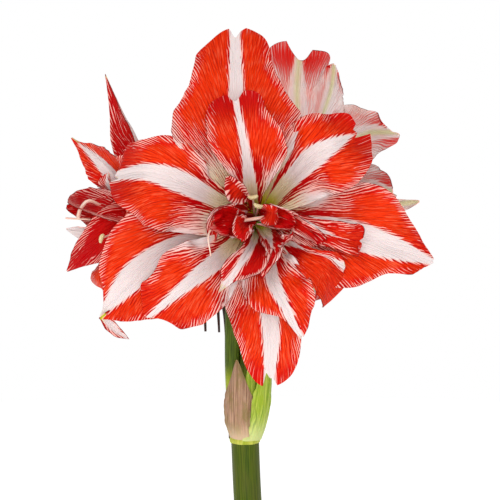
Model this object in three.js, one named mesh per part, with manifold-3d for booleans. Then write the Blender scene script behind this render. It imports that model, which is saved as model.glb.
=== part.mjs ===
// Potted double amaryllis: one scape with three open blooms, four strap leaves and the bulb, in a clay pot.
// Millimetres, +Z up. The origin is the middle of the pot's underside, and the front bloom faces -Y.
import * as THREE from "three";
import { mergeVertices } from "three/addons/utils/BufferGeometryUtils.js";
import Module from "manifold-3d";

const wasm = await Module();
wasm.setup();

// Clearance between pieces that touch
const CLEARANCE = 0.3;

// Pot and soil
const POT_HEIGHT = 140;
const POT_RIM_RADIUS = 80;
const POT_FOOT_RADIUS = 53;
const POT_WALL = 7;
const POT_FLOOR = 9;
const POT_COLLAR_HEIGHT = 30;
const POT_COLLAR_STEP = 5;
const POT_BEVEL = 2;
const POT_SIDES = 36;
const DRAIN_RADIUS = 4;
const DRAIN_CIRCLE = 24;
const DRAIN_COUNT = 4;
const SOIL_TOP = 121;
const SOIL_CROWN = 4;

// Bulb: radius and height of its outline from the basal plate up, then the cup in its neck
const BULB_OUTLINE = [
  [0, 64], [15, 64], [27, 69], [40, 84], [46, 104], [45, 122], [37, 142], [27, 158], [21.5, 172], [21, 186],
];
const BULB_SIDES = 22;
const NECK_CUP_RADII = [15.4, 18.4];
const NECK_CUP_FLOOR = 168;
const ROOT_COUNT = 7;
const ROOT_RADIUS = 2.2;
const ROOT_SEED = 11;

// Scape, its collar and the pedicels
const SCAPE_LINE = [
  [0, 0, NECK_CUP_FLOOR + CLEARANCE], [1.5, 0, 250], [0, 0, 320], [-3.9, 0, 381], [-5.8, 0, 426],
];
const SCAPE_RADII = [11.2, 11.4, 10.8, 10.35, 10.3];
const SCAPE_SIDES = 14;
const COLLAR_RADIUS = 11.2;
const COLLAR_HEIGHT = 5;
const PEDICEL_RADII = [5.2, 6.1, 5.9, 5.7, 6.4, 7.6, 6.9];
const PEDICEL_SIDES = 8;

// Blooms: throat centre, turn about Z and upward tilt in degrees, then the rest of each pedicel's line
const TUBE_LENGTH = 45;
const TUBE_OUTLINE = [[0, 0], [6.6, 0], [6.8, 14], [8.8, 30], [10.6, 39], [8.6, 43.5], [0, 45]];
const TUBE_SIDES = 12;
const PETAL_THICKNESS = 0.9;
const BLOOMS = {
  front: {
    throat: [1.5, -57.5, 591], turn: 0, tilt: 6,
    pedicel: [[-4, -3, 420], [-4, -5, 470], [0, 2, 530], [1, 5, 567]],
  },
  left: {
    throat: [-62, -20, 586], turn: -60, tilt: 4,
    pedicel: [[-9, -1, 420], [-14, -1, 465], [-14.5, 2, 520], [-10.5, 9, 563]],
  },
  right: {
    throat: [30, 50, 600], turn: 130, tilt: 8,
    pedicel: [[-3, 5, 420], [-1, 12, 480], [-4, 19, 545], [-12, 18, 577]],
  },
};

const radians = THREE.MathUtils.degToRad;

// Catmull-Rom value at u from 0 to 1 through evenly spaced values, numbers or triples
function along(values, u) {
  const last = values.length - 1;
  const index = Math.min(Math.floor(u * last), last - 1);
  const w = u * last - index;
  const blend = (pick) => {
    const b = pick(values[index]);
    const c = pick(values[index + 1]);
    const a = index > 0 ? pick(values[index - 1]) : 2 * b - c;
    const d = index + 2 <= last ? pick(values[index + 2]) : 2 * c - b;
    const start = (c - a) / 2;
    const end = (d - b) / 2;
    const cubic = 2 * b - 2 * c + start + end;
    const square = 3 * c - 3 * b - 2 * start - end;
    return cubic * w ** 3 + square * w ** 2 + start * w + b;
  };
  if (typeof values[0] === "number") return blend((value) => value);
  return new THREE.Vector3(blend((p) => p[0]), blend((p) => p[1]), blend((p) => p[2]));
}

// Closed body of a geometry's positions, as a solid that can be joined and cut
function solidOf(geometry) {
  const bare = geometry.clone();
  bare.deleteAttribute("normal");
  bare.deleteAttribute("uv");
  const merged = mergeVertices(bare, 1e-4);
  const mesh = new wasm.Mesh({
    numProp: 3,
    vertProperties: new Float32Array(merged.attributes.position.array),
    triVerts: new Uint32Array(merged.index.array),
  });
  return new wasm.Manifold(mesh);
}

// The largest outer shell of a joined solid, without the pockets and scraps that joining leaves
function geometryOf(solid) {
  const shells = solid.decompose();
  const body = shells.reduce((best, shell) => (shell.volume() > best.volume() ? shell : best));
  const mesh = body.getMesh();
  const geometry = new THREE.BufferGeometry();
  geometry.setAttribute("position", new THREE.BufferAttribute(new Float32Array(mesh.vertProperties), 3));
  geometry.setIndex(new THREE.BufferAttribute(new Uint32Array(mesh.triVerts), 1));
  return geometry;
}

const joined = (solids) => solids.reduce((all, next) => all.add(next));

// Solid turned about +Z from an outline of [radius, height] pairs
function turned(outline, sides) {
  const points = outline.map(([radius, height]) => new THREE.Vector2(radius, height));
  return new THREE.LatheGeometry(points, sides).rotateX(Math.PI / 2);
}

// Closed geometry from a list of rings with the same number of points, capped at both ends
function lofted(rings) {
  const sides = rings[0].length;
  const positions = [];
  const faces = [];
  for (const ring of rings) for (const point of ring) positions.push(point.x, point.y, point.z);
  for (let i = 0; i + 1 < rings.length; i += 1) {
    for (let j = 0; j < sides; j += 1) {
      const a = i * sides + j;
      const b = i * sides + ((j + 1) % sides);
      faces.push(a, b, b + sides, a, b + sides, a + sides);
    }
  }
  const end = (rings.length - 1) * sides;
  for (let j = 1; j + 1 < sides; j += 1) faces.push(0, j + 1, j, end, end + j, end + j + 1);
  const geometry = new THREE.BufferGeometry();
  geometry.setAttribute("position", new THREE.Float32BufferAttribute(positions, 3));
  geometry.setIndex(faces);
  return geometry;
}

// Round stalk along a line, with its radius taken through the given radii
function stalk(line, radii, sides, steps) {
  const points = line.map((p) => new THREE.Vector3(...p));
  const curve = new THREE.CatmullRomCurve3(points, false, "catmullrom", 0.5);
  const frames = curve.computeFrenetFrames(steps, false);
  const rings = [];
  for (let i = 0; i <= steps; i += 1) {
    const centre = curve.getPointAt(i / steps);
    const radius = along(radii, i / steps);
    rings.push(Array.from({ length: sides }, (_, j) => {
      const angle = (2 * Math.PI * j) / sides;
      return centre.clone()
        .addScaledVector(frames.normals[i], radius * Math.cos(angle))
        .addScaledVector(frames.binormals[i], radius * Math.sin(angle));
    }));
  }
  return lofted(rings);
}

// Petals, leaves and bracts share one blade. It starts at the middle of a rosette that faces -Y, and its
// spine is a list of [right, up, forward]. left and right are its half-widths along the spine, fold and curl
// bend its halves up, in radians, roll turns it about the spine in degrees, ruffle is [height, waves, phase]
// of its margin, crown moves the tip's edge out or in from left to right, and round says how blunt it is.
const PLAIN_BLADE = {
  fold: [0.35, 0.15, 0.15], curl: [0.9, 0.1, -0.3], roll: [0, 0], ruffle: [3, 3.2, 0], crown: [0, 0, 0],
  round: 8,
  thickness: [PETAL_THICKNESS, PETAL_THICKNESS], rows: 6, columns: 4,
};
const TIP_CLOSENESS = 0.995;
const CROWN_SHARPNESS = 6;
const ROW_SPACING = 1.25;
const RUFFLE_START = 0.15;
const RUFFLE_RISE = 0.3;
const RUFFLE_FULL_WIDTH = 12;

// Height of the wavy margin over the blade
function ruffleHeight([height, waves, phase], u, v, half) {
  const side = v > 0 ? 1 : 0;
  const coarse = Math.sin(2 * Math.PI * (waves * u + phase + 0.31 * side));
  const fine = 0.45 * Math.sin(2 * Math.PI * (1.9 * waves * u + 2.3 * phase + 0.6 * side));
  const rise = THREE.MathUtils.clamp((u - RUFFLE_START) / RUFFLE_RISE, 0, 1);
  return height * (coarse + fine) * rise * Math.abs(v) ** 3 * Math.min(1, half / RUFFLE_FULL_WIDTH);
}

// Middle surface of a blade: rows of points from base to tip
function bladeRows(shape) {
  const spine = shape.spine.map(([x, z, forward]) => [x, -forward, z]);
  const last = spine[spine.length - 1];
  const straight = THREE.MathUtils.radToDeg(Math.atan2(last[2] - spine[0][2], last[0] - spine[0][0]));
  const bearing = shape.bearing ?? [straight, straight];
  const step = 1e-3;
  const rows = [];
  for (let i = 0; i <= shape.rows; i += 1) {
    const u = 1 - (1 - i / shape.rows) ** ROW_SPACING;
    const tangent = along(spine, Math.min(u + step, 1)).sub(along(spine, Math.max(u - step, 0))).normalize();
    const angle = radians(along(bearing, u));
    const level = new THREE.Vector3(Math.sin(angle), 0, -Math.cos(angle));
    const side = level.clone().addScaledVector(tangent, -tangent.dot(level)).normalize();
    side.applyAxisAngle(tangent, radians(-along(shape.roll, u)));
    const face = new THREE.Vector3().crossVectors(side, tangent);
    const closing = Math.sqrt(1 - (u * TIP_CLOSENESS) ** shape.round);
    const fold = along(shape.fold, u);
    const curl = Math.abs(along(shape.curl, u)) < 0.02 ? 0.02 : along(shape.curl, u);
    rows.push(Array.from({ length: shape.columns + 1 }, (_, j) => {
      const v = (2 * j) / shape.columns - 1;
      const reach = Math.abs(v);
      const half = along(v < 0 ? shape.left : shape.right, u) * closing;
      const lateral = (half * (Math.sin(fold + curl * reach) - Math.sin(fold)) * Math.sign(v)) / curl;
      const lift = (half * (Math.cos(fold) - Math.cos(fold + curl * reach))) / curl;
      return along(spine, u)
        .addScaledVector(side, lateral)
        .addScaledVector(face, lift + ruffleHeight(shape.ruffle, u, v, half))
        .addScaledVector(tangent, along(shape.crown, (v + 1) / 2) * u ** CROWN_SHARPNESS);
    }));
  }
  return rows;
}

// A blade with its thickness, both faces split into triangles alike
function blade(settings) {
  const shape = { ...PLAIN_BLADE, ...settings };
  const rows = bladeRows(shape);
  const rings = rows.map((row, i) => {
    const half = along(shape.thickness, i / shape.rows) / 2;
    const offsets = row.map((point, j) => {
      const ahead = rows[Math.min(i + 1, shape.rows)][j].clone().sub(rows[Math.max(i - 1, 0)][j]);
      const across = row[Math.min(j + 1, shape.columns)].clone().sub(row[Math.max(j - 1, 0)]);
      return new THREE.Vector3().crossVectors(across, ahead).normalize().multiplyScalar(half);
    });
    const front = row.map((point, j) => point.clone().add(offsets[j]));
    const back = row.map((point, j) => point.clone().sub(offsets[j]));
    return { front, back };
  });
  const columns = shape.columns + 1;
  const faceSize = columns * rings.length;
  const positions = [];
  for (const side of ["front", "back"]) {
    for (const ring of rings) for (const point of ring[side]) positions.push(point.x, point.y, point.z);
  }
  const faces = [];
  const wall = (a, b) => faces.push(a, a + faceSize, b + faceSize, a, b + faceSize, b);
  for (let i = 0; i < shape.rows; i += 1) {
    for (let j = 0; j < shape.columns; j += 1) {
      const a = i * columns + j;
      const [b, c, d] = [a + 1, a + 1 + columns, a + columns];
      const split = j * 2 < shape.columns ? [[a, b, d], [b, c, d]] : [[a, b, c], [a, c, d]];
      for (const [p, q, r] of split) faces.push(p, q, r, p + faceSize, r + faceSize, q + faceSize);
    }
    wall(i * columns + shape.columns, (i + 1) * columns + shape.columns);
    wall((i + 1) * columns, i * columns);
  }
  for (let j = 0; j < shape.columns; j += 1) {
    wall(j, j + 1);
    wall(shape.rows * columns + j + 1, shape.rows * columns + j);
  }
  const geometry = new THREE.BufferGeometry();
  geometry.setAttribute("position", new THREE.Float32BufferAttribute(positions, 3));
  geometry.setIndex(faces);
  return geometry;
}

// Blade whose spine leaves the middle at an azimuth, from a list of [reach, forward]
function fanned(azimuth, profile, half, settings = {}) {
  const spine = profile.map(([reach, forward], i) => {
    const angle = radians(azimuth + ((settings.drift ?? 0) * i) / (profile.length - 1));
    return [reach * Math.cos(angle), reach * Math.sin(angle), forward];
  });
  return { spine, bearing: [azimuth, azimuth + (settings.drift ?? 0)], left: half, right: half, ...settings };
}

// Plain petal at an azimuth: how far it reaches, how far forward it arches and ends, and its half-width
function petal(azimuth, reach, arch, tip, half, settings = {}) {
  const profile = [
    [0.05 * reach, -6], [0.2 * reach, 0.42 * arch], [0.46 * reach, 0.8 * arch], [0.75 * reach, arch],
    [reach, tip],
  ];
  const widths = [0.16, 0.66, 1, 0.95, 0.6].map((part) => part * half);
  return fanned(azimuth, profile, widths, settings);
}

// Front bloom: six outer petals, five inner ones, then the small curled petaloids of its centre
const OUTER = { rows: 8, columns: 6 };
const FRONT_PETALS = [
  // top
  { ...OUTER,
    spine: [[-0.7, 3.8, -8], [-7.6, 40.1, 24], [-11.9, 68.3, 40], [-12.9, 95.2, 42], [-13.7, 125.6, 30]],
    left: [2, 21, 36, 46, 35, 29, 35], right: [5, 21, 37, 43, 32, 25, 29], crown: [-5, 5, -2, 2, 5],
    round: 14, ruffle: [2.5, 2.6, 0.1] },
  // upper left
  { ...OUTER,
    spine: [[-2.8, 3.1, -8], [-28.1, 14.1, 24], [-50, 25, 42], [-72.1, 31.6, 46], [-95.2, 29.8, 24]],
    left: [6, 24, 31, 36, 36, 29, 15], right: [5, 10, 12, 23, 27, 21, 32], crown: [6, -4, 1, -4, -2],
    round: 16, ruffle: [3, 2.8, 0.6] },
  // upper right
  { ...OUTER,
    spine: [[4.9, 5.2, -8], [22.5, 25, 24], [37, 40, 40], [52.3, 49.7, 46], [69.2, 58.6, 34]],
    left: [4, 12, 17, 25, 27, 22, 22], right: [6, 15, 24, 28, 31, 28, 17], crown: [2, -2, 0, -4, 10],
    round: 14, ruffle: [2.5, 3, 0.3] },
  // right
  { ...OUTER,
    spine: [[4.9, 1.6, -8], [30.8, -2.3, 20], [57.6, -7.9, 34], [88, -17.5, 36], [121.3, -29.1, 22]],
    left: [5, 11, 20, 35, 40, 29, 14], right: [5, 13, 23, 39, 38, 24, 29], crown: [1, 0, 1, -1, -7],
    round: 4, ruffle: [2.5, 2.5, 0.5] },
  // lower left
  { ...OUTER,
    spine: [[-4.9, -1.9, -8], [-31.7, -11.2, 20], [-59.2, -20.8, 34], [-84, -40.5, 38], [-105.5, -65.3, 24]],
    left: [6, 17, 36, 42, 43, 36, 20], right: [8, 16, 23, 35, 35, 25, 2], crown: [0, 2, 0, 1, -4],
    round: 5, ruffle: [2, 2.6, 0.8] },
  // bottom
  { ...OUTER,
    spine: [[-0.7, -4.7, -8], [4.7, -30.5, 20], [8.8, -54.2, 30], [10.8, -80.8, 30], [9.9, -110.4, 16]],
    left: [5, 10, 17, 20, 21, 20, 21], right: [5, 12, 25, 30, 26, 21, 17], crown: [4, -1, -2, -6, 5],
    round: 14, ruffle: [2, 2.5, 0.2] },
  // hooked tip of the lower left petal
  { spine: [[-104.4, -65.2, 29], [-103, -68.2, 21], [-100.1, -71.9, 14], [-95.7, -77, 9], [-88.3, -82.7, 6]],
    left: [6, 4, 4, 4, 4, 4, 2], right: [3, 3, 4, 5, 5, 5, 2], crown: [1, 0, 0, 0, 0], round: 3,
    ruffle: [0, 1, 0], fold: [0, 0.2], curl: [0.3, 0.3] },
  // inner top
  { ...OUTER,
    spine: [[-0.7, 5.8, -5], [-3.5, 23.5, 28], [-6.2, 42.9, 48], [-9.5, 61, 58], [-12.8, 78.7, 54]],
    left: [5, 6, 11, 18, 24, 24, 23], right: [5, 8, 17, 28, 28, 20, 25], crown: [5, 1, 0, 2, 5],
    round: 14, ruffle: [1.5, 2.4, 0.4], fold: [0.4, 0.3, 0.45] },
  // inner lower left
  { ...OUTER,
    spine: [[-3.5, -4.7, -5], [-19.9, -22.9, 30], [-34.3, -34.9, 50], [-51.4, -48.8, 58], [-69.8, -64.4, 50]],
    left: [5, 12, 18, 26, 28, 28, 23], right: [5, 12, 18, 23, 26, 22, 35], crown: [-6, -1, 3, 3, -3],
    round: 9, ruffle: [3, 3.4, 0.15] },
  // inner bottom
  { ...OUTER,
    spine: [[4.9, -4.7, -5], [8.8, -24.2, 30], [11.9, -41.6, 50], [19.8, -58.1, 58], [30, -78.5, 50]],
    left: [5, 10, 16, 22, 25, 23, 11], right: [5, 11, 16, 22, 21, 7, 3], crown: [1, 0, 2, 2, -1],
    round: 5, ruffle: [3, 3.6, 0.7] },
  // inner lower right
  { ...OUTER,
    spine: [[4.9, -4, -4], [20.3, -14, 30], [35.4, -21.5, 48], [48.6, -25.5, 54], [59.1, -31.6, 44]],
    left: [5, 6, 3, 3, 3, 6, 5], right: [5, 7, 11, 13, 23, 31, 54], crown: [0, 2, 2, 4, 11],
    round: 9, ruffle: [2.5, 3, 0.35] },
  // inner right
  { spine: [[3.5, 0.2, -3], [23.7, -1.1, 32], [42.2, -7.4, 46], [58.1, -12.8, 50], [72, -14.8, 42]],
    left: [4, 6, 7, 8, 11, 13, 21], right: [4, 11, 14, 13, 9, 11, 20], crown: [-1, 0, -2, 0, -4],
    round: 9, ruffle: [2.5, 3.2, 0.9], curl: [0.9, 0.4, 0.5] },
  // petaloid hood over the centre
  { spine: [[-2.1, 8.2, 10], [-3.5, 11.9, 30], [-7.5, 17.5, 44], [-12.9, 23.4, 50], [-18.3, 28.2, 46]],
    left: [3, 3, 2, 9, 13, 9, 4], right: [3, 2, 2, 3, 4, 3, 3], crown: [1, 0, 0], round: 8,
    ruffle: [1, 3, 0.1], fold: [0.3, 0.2, 0.2], curl: [0.6, 0.5, 0.4], roll: [0, 0, 0] },
  // petaloid cupped left of the centre
  { spine: [[0, 1.4, 6], [-5.5, 0.3, 30], [-12.2, -1.3, 46], [-20.2, -2.1, 52], [-27.5, -2.9, 58]],
    left: [4, 10, 16, 20, 19, 20, 24], right: [4, 11, 13, 17, 19, 22, 22], crown: [6, 0, 0, 0, 3],
    round: 5, ruffle: [2.2, 3.4, 0.4], fold: [0.5, 0.3, 0.2], curl: [0.9, 1, 1.1], roll: [0, 0] },
  // narrow petaloid on the left
  { spine: [[-0.7, 4.2, 4], [-10.3, 5.2, 24], [-21.1, 5.6, 36], [-27.8, -1.2, 40], [-29.3, -14.1, 36]],
    left: [3, 9, 15, 13, 10, 8, 11], right: [3, 6, 6, 4, 6, 5, 5], crown: [1, 0, 1], round: 6,
    ruffle: [1.2, 3.2, 0.2], fold: [0.3, 0.2], curl: [0.5, 0.6, 0.5], roll: [0, 0] },
  // petaloid hanging below the centre
  { spine: [[0.7, -4.1, 4], [-0.8, -14.1, 36], [-5.5, -23.5, 56], [-12.1, -33.4, 64], [-22.2, -46.2, 56]],
    left: [4, 11, 14, 17, 19, 8, 6], right: [3, 7, 8, 7, 10, 14, 7], crown: [-3, 5, -4], round: 4,
    ruffle: [1.5, 3.2, 0.6], fold: [0.4, 0.3, 0.3], curl: [0.6, 0.5, 0.4] },
  // petaloid curled right of the centre
  { spine: [[0.7, 1.4, 6], [6, 0.2, 34], [11.9, 1.9, 50], [18.5, 0.5, 58], [25.8, -3.5, 58]],
    left: [3, 9, 7, 10, 12, 11, 5], right: [3, 7, 12, 15, 15, 20, 19], crown: [1, 0, 1], round: 6,
    ruffle: [2.2, 3.4, 0.8], fold: [0.5, 0.4, 0.3], curl: [0.8, 1, 1.1], roll: [0, 0] },
  // ruffled petaloid on the right
  { spine: [[4.9, 2.8, 4], [15.5, 2.2, 36], [25.3, -1.4, 50], [35.1, -6.9, 58], [45.3, -14.2, 52]],
    left: [4, 4, 6, 7, 5, 5, 6], right: [3, 8, 9, 8, 8, 9, 8], crown: [2, 0, 1], round: 7,
    ruffle: [2, 4.5, 0.3], fold: [0.4, 0.3, 0.3], curl: [0.6, 0.6, 0.6] },
  // fold of a petaloid below the centre
  { spine: [[2.1, -2.7, 4], [7.4, -11.3, 34], [11.2, -18.2, 52], [12.4, -24.8, 60], [4.5, -38.1, 58]],
    left: [3, 8, 10, 11, 7, 3, 4], right: [3, 6, 7, 8, 7, 6, 4], crown: [2, 0, 1], round: 6,
    ruffle: [1.5, 3.4, 0.3], fold: [0.3, 0.2, 0.3], curl: [0.6, 0.5, 0.4] },
  // frill of a petaloid below the centre
  { spine: [[8.9, -2.9, 12], [14.7, -11.4, 42], [18.5, -16.2, 58], [21.7, -12.9, 62], [24.4, -8.2, 60]],
    left: [2, 4, 5, 5, 4], right: [2, 3, 4, 4, 3], crown: [0, 0, 0], round: 6, ruffle: [1, 3.4, 0.3],
    fold: [0.2, 0.2], curl: [0.5, 0.5] },
];

// Left bloom, half closed: one upright petal leans back, the others cup forward round two inner petals
const LEFT_PETALS = [
  // upright
  { ...OUTER,
    spine: [[0, 4, -6], [-2, 22, 20], [11.7, 44.3, 30], [-9.2, 65.8, 36], [-19.4, 103.4, 46]],
    left: [4, 4, 12, 16, 15, 7, 2], right: [4, 14, 22, 18, 16, 16, 6], crown: [-2, 0, -3],
    round: 3.2, ruffle: [1, 2.2, 0.1], fold: [0.3, 0.2, 0.2], roll: [0, -25, -45, -50] },
  // up far
  { spine: [[-2.4, 2.8, -6], [-9.7, 11.2, 21], [-1.2, 29.1, 40], [-16.6, 43.5, 50], [-48.5, 56.3, 55]],
    left: [4, 4, 6, 16, 17, 16, 9], right: [4, 15, 26, 32, 21, 11, 2], crown: [-4, 1, 0, 0, -8],
    round: 4, ruffle: [1.5, 2.4, 0.5], fold: [0.3, 0.3, 0.5] },
  // far
  { spine: [[-2, -0.4, -6], [19.7, 3.4, 22], [21.6, 8, 42], [0.8, 12.5, 54], [-33.9, 15, 60]],
    left: [3, 10, 14, 14, 20, 24, 14], right: [3, 10, 13, 11, 12, 12, 14], crown: [-1, 2, -2],
    round: 5, ruffle: [1.2, 2.4, 0.3], fold: [0.3, 0.3, 0.3], curl: [0.9, 0.9, 0.8],
    roll: [0, -20, -40, -45] },
  // low far
  { spine: [[-1.8, -2, -6], [17.4, -3.1, 22], [17.4, -2.2, 44], [3.7, -15.6, 56], [-35.6, -39.4, 60]],
    left: [3, 8, 10, 11, 10, 9, 4], right: [3, 8, 10, 11, 10, 9, 4], crown: [0, 0, 0], round: 4,
    ruffle: [1.2, 2.4, 0.7], fold: [0.3, 0.3, 0.3], curl: [0.6, 0.4, 0.3], roll: [0, -20, -30, -30] },
  petal(292, 52, 52, 52, 25, { round: 4, ruffle: [1.5, 2.4, 0.2] }),
  petal(345, 56, 52, 48, 26, { round: 4, ruffle: [1.5, 2.4, 0.9] }),
  petal(40, 66, 50, 46, 25, { round: 4, ruffle: [1.5, 2.4, 0.4] }),
  petal(70, 36, 50, 54, 14, { round: 5, ruffle: [2, 2.6, 0.3], curl: [0.9, 0.5, 0.5] }),
  petal(165, 30, 52, 66, 13, { round: 5, ruffle: [2, 2.6, 0.6], curl: [0.9, 0.9, 1] }),
  // inner low
  { spine: [[-0.1, -1.6, -6], [17.2, -1.7, 22], [14.4, -3.9, 44], [-6.4, -9.3, 54], [-43.9, -9.6, 58]],
    left: [3, 8, 10, 11, 10, 9, 4], right: [3, 8, 10, 11, 10, 9, 4], crown: [0, 0, 0], round: 4,
    ruffle: [1.2, 2.4, 0.1], fold: [0.3, 0.3, 0.3], curl: [0.6, 0.4, 0.3], roll: [0, -20, -30, -30] },
];

// Right bloom, turned away: its petals' backs show past the front bloom's upper right
const RIGHT_PETALS = [
  // up
  { ...OUTER,
    spine: [[0.8, 5.1, -6], [17.5, 20, 17], [22.3, 52.4, 32], [27.7, 76, 40], [12.8, 99.7, 32]],
    left: [5, 12, 17, 18, 19, 22, 33], right: [5, 13, 19, 23, 24, 21, 34], crown: [9, 0, -1, 5, 14],
    round: 20, ruffle: [2, 2.6, 0.2], fold: [0.3, 0.2, 0.1], curl: [0.5, 0.2, 0.2],
    roll: [0, -25, -38, -38] },
  // up mid
  { ...OUTER,
    spine: [[-0.7, 4.8, -6], [8.1, 19.7, 21], [3.6, 51.6, 40], [-0.1, 73.3, 50], [-11.7, 93.3, 45]],
    left: [4, 13, 16, 21, 15, 16, 15], right: [3, 29, 25, 28, 26, 14, 24], crown: [-3, 0, 0, 0, -5],
    round: 4, ruffle: [2, 2.6, 0.5] },
  // upper near
  { ...OUTER,
    spine: [[-3.6, 2.7, -6], [1.5, 9.8, 21], [-12.3, 28.8, 40], [-34.3, 40.2, 50], [-66.7, 43.7, 44]],
    left: [4, 14, 24, 26, 22, 16, 12], right: [4, 8, 22, 32, 28, 17, 16], crown: [10, 9, 3, 0, -4],
    round: 12, ruffle: [2.5, 3, 0.3] },
  // near
  { ...OUTER,
    spine: [[-3.3, 0.2, -6], [-4, -7.2, 22], [-13.3, -4.2, 42], [-30.9, -2, 52], [-62.9, -1.9, 45]],
    left: [3, 15, 16, 17, 16, 14, 10], right: [3, 9, 15, 19, 21, 18, 19], crown: [5, 0, 0, 0, 1],
    round: 9, ruffle: [2, 2.6, 0.8] },
  // near outer
  { ...OUTER,
    spine: [[-4.9, -0.3, -6], [-15.3, -13.5, 18], [-34.8, -14.6, 34], [-63.7, -11.2, 42], [-99.5, -4.7, 35]],
    left: [4, 14, 12, 11, 10, 9, 6], right: [3, 3, 8, 8, 8, 5, 3], crown: [0, 0, 0, 0, 0], round: 3,
    ruffle: [2, 2.6, 0.1] },
  petal(232, 82, 42, 34, 26, { round: 6, ruffle: [2, 2.6, 0.4] }),
  petal(288, 96, 42, 30, 28, { round: 6, ruffle: [2, 2.6, 0.6] }),
  petal(340, 96, 42, 34, 28, { round: 6, ruffle: [2, 2.6, 0.9] }),
  petal(30, 94, 44, 36, 27, { round: 6, ruffle: [2, 2.6, 0.35] }),
  petal(262, 66, 54, 48, 20, { round: 6, ruffle: [2, 2.8, 0.2] }),
  petal(315, 64, 54, 48, 20, { round: 6, ruffle: [2, 2.8, 0.5] }),
];

// Stamens of an open bloom: azimuth, reach and forward height of each anther
const STAMENS = [[60, 16, 62], [100, 9, 70], [250, 14, 64], [330, 22, 60]];
const STAMEN_RADII = [1.1, 0.8, 0.7, 0.7, 1.7, 1.7, 0.7];

function stamen([azimuth, reach, forward]) {
  const angle = radians(azimuth);
  const line = [[0.2, -4], [0.35, 0.4 * forward], [0.65, 0.75 * forward], [1, forward]]
    .map(([part, height]) => [part * reach * Math.cos(angle), -height, part * reach * Math.sin(angle)]);
  return stalk(line, STAMEN_RADII, 4, 7);
}

// Petals and stamens fused to the bloom's tube. A bloom faces -Y in its own frame
// and its throat is the origin.
function bloomGeometry(petals) {
  const tube = turned(TUBE_OUTLINE, TUBE_SIDES).translate(0, 0, -TUBE_LENGTH).rotateX(Math.PI / 2);
  const pieces = [tube, ...petals.map(blade), ...STAMENS.map(stamen)];
  return geometryOf(joined(pieces.map(solidOf)));
}

// Placement of a rosette: throat, turn about Z and upward tilt
function placed(mesh, throat, turn, tilt) {
  mesh.rotation.set(-radians(tilt), 0, radians(turn), "ZYX");
  mesh.position.set(...throat);
  return mesh;
}

// Scape with its collar, three pedicels and the swollen ovaries that end them
function scapeGeometry() {
  const outline = [
    [0, 0], [COLLAR_RADIUS - 0.8, 0], [COLLAR_RADIUS, 1.5], [COLLAR_RADIUS, COLLAR_HEIGHT - 1.5],
    [COLLAR_RADIUS - 0.8, COLLAR_HEIGHT], [0, COLLAR_HEIGHT + 2],
  ];
  const collar = turned(outline, SCAPE_SIDES);
  const top = SCAPE_LINE[SCAPE_LINE.length - 1];
  collar.translate(top[0], top[1], top[2] - COLLAR_HEIGHT);
  const pedicels = Object.values(BLOOMS).map(({ throat, turn, tilt, pedicel }) => {
    const pose = new THREE.Euler(-radians(tilt), 0, radians(turn), "ZYX");
    const facing = new THREE.Vector3(0, -1, 0).applyEuler(pose);
    const end = new THREE.Vector3(...throat).addScaledVector(facing, -(TUBE_LENGTH + CLEARANCE));
    const before = end.clone().addScaledVector(facing, -6);
    return stalk([...pedicel, before.toArray(), end.toArray()], PEDICEL_RADII, PEDICEL_SIDES, 13);
  });
  const stem = stalk(SCAPE_LINE, SCAPE_RADII, SCAPE_SIDES, 8);
  return geometryOf(joined([stem, collar, ...pedicels].map(solidOf)));
}

// Bulb with its basal plate, the roots below it and the cup in its neck that holds the scape and the leaves.
// grow widens everything, which gives the pocket in the soil.
function bulbSolid(grow = 0) {
  const outline = BULB_OUTLINE.map(([radius, height], i) => (
    [radius > 0 ? radius + grow : 0, height - (i < 3 ? grow : 0)]
  ));
  const body = solidOf(turned([...outline, [0, BULB_OUTLINE[BULB_OUTLINE.length - 1][1]]], BULB_SIDES));
  const random = seeded(ROOT_SEED);
  const roots = Array.from({ length: ROOT_COUNT }, (_, i) => {
    const angle = (2 * Math.PI * (i + 0.5 * random())) / ROOT_COUNT;
    const [out, down] = [24 + 12 * random(), 26 + 14 * random()];
    const point = (reach, height) => [reach * Math.cos(angle), reach * Math.sin(angle), height];
    const line = [
      point(10, 72), point(15, 60), point(15 + 0.6 * out, 62 - 0.5 * down), point(15 + out, 62 - down - grow),
    ];
    return solidOf(stalk(line, [ROOT_RADIUS + grow, ROOT_RADIUS + grow, 1.4 + grow], 5, 4));
  });
  return joined([body, ...roots]);
}

// Random numbers from 0 to 1 that are the same on every run
function seeded(seed) {
  let state = seed;
  return () => {
    state = (state * 16807) % 2147483647;
    return state / 2147483647;
  };
}

function bulbGeometry() {
  const [floorRadius, mouthRadius] = NECK_CUP_RADII;
  const [, neckTop] = BULB_OUTLINE[BULB_OUTLINE.length - 1];
  const outline = [
    [0, NECK_CUP_FLOOR], [floorRadius, NECK_CUP_FLOOR], [mouthRadius, neckTop], [mouthRadius, neckTop + 5],
    [0, neckTop + 5],
  ];
  return geometryOf(bulbSolid().subtract(solidOf(turned(outline, BULB_SIDES))));
}

// Pot: a tapered shell with a collar at the rim and drain holes round the middle of its floor
const POT_FLARE = (POT_RIM_RADIUS - POT_COLLAR_STEP - POT_FOOT_RADIUS) / POT_HEIGHT;
const potOuterRadius = (height) => POT_FOOT_RADIUS + POT_FLARE * height;
const potInnerRadius = (height) => potOuterRadius(height) - POT_WALL;

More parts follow.
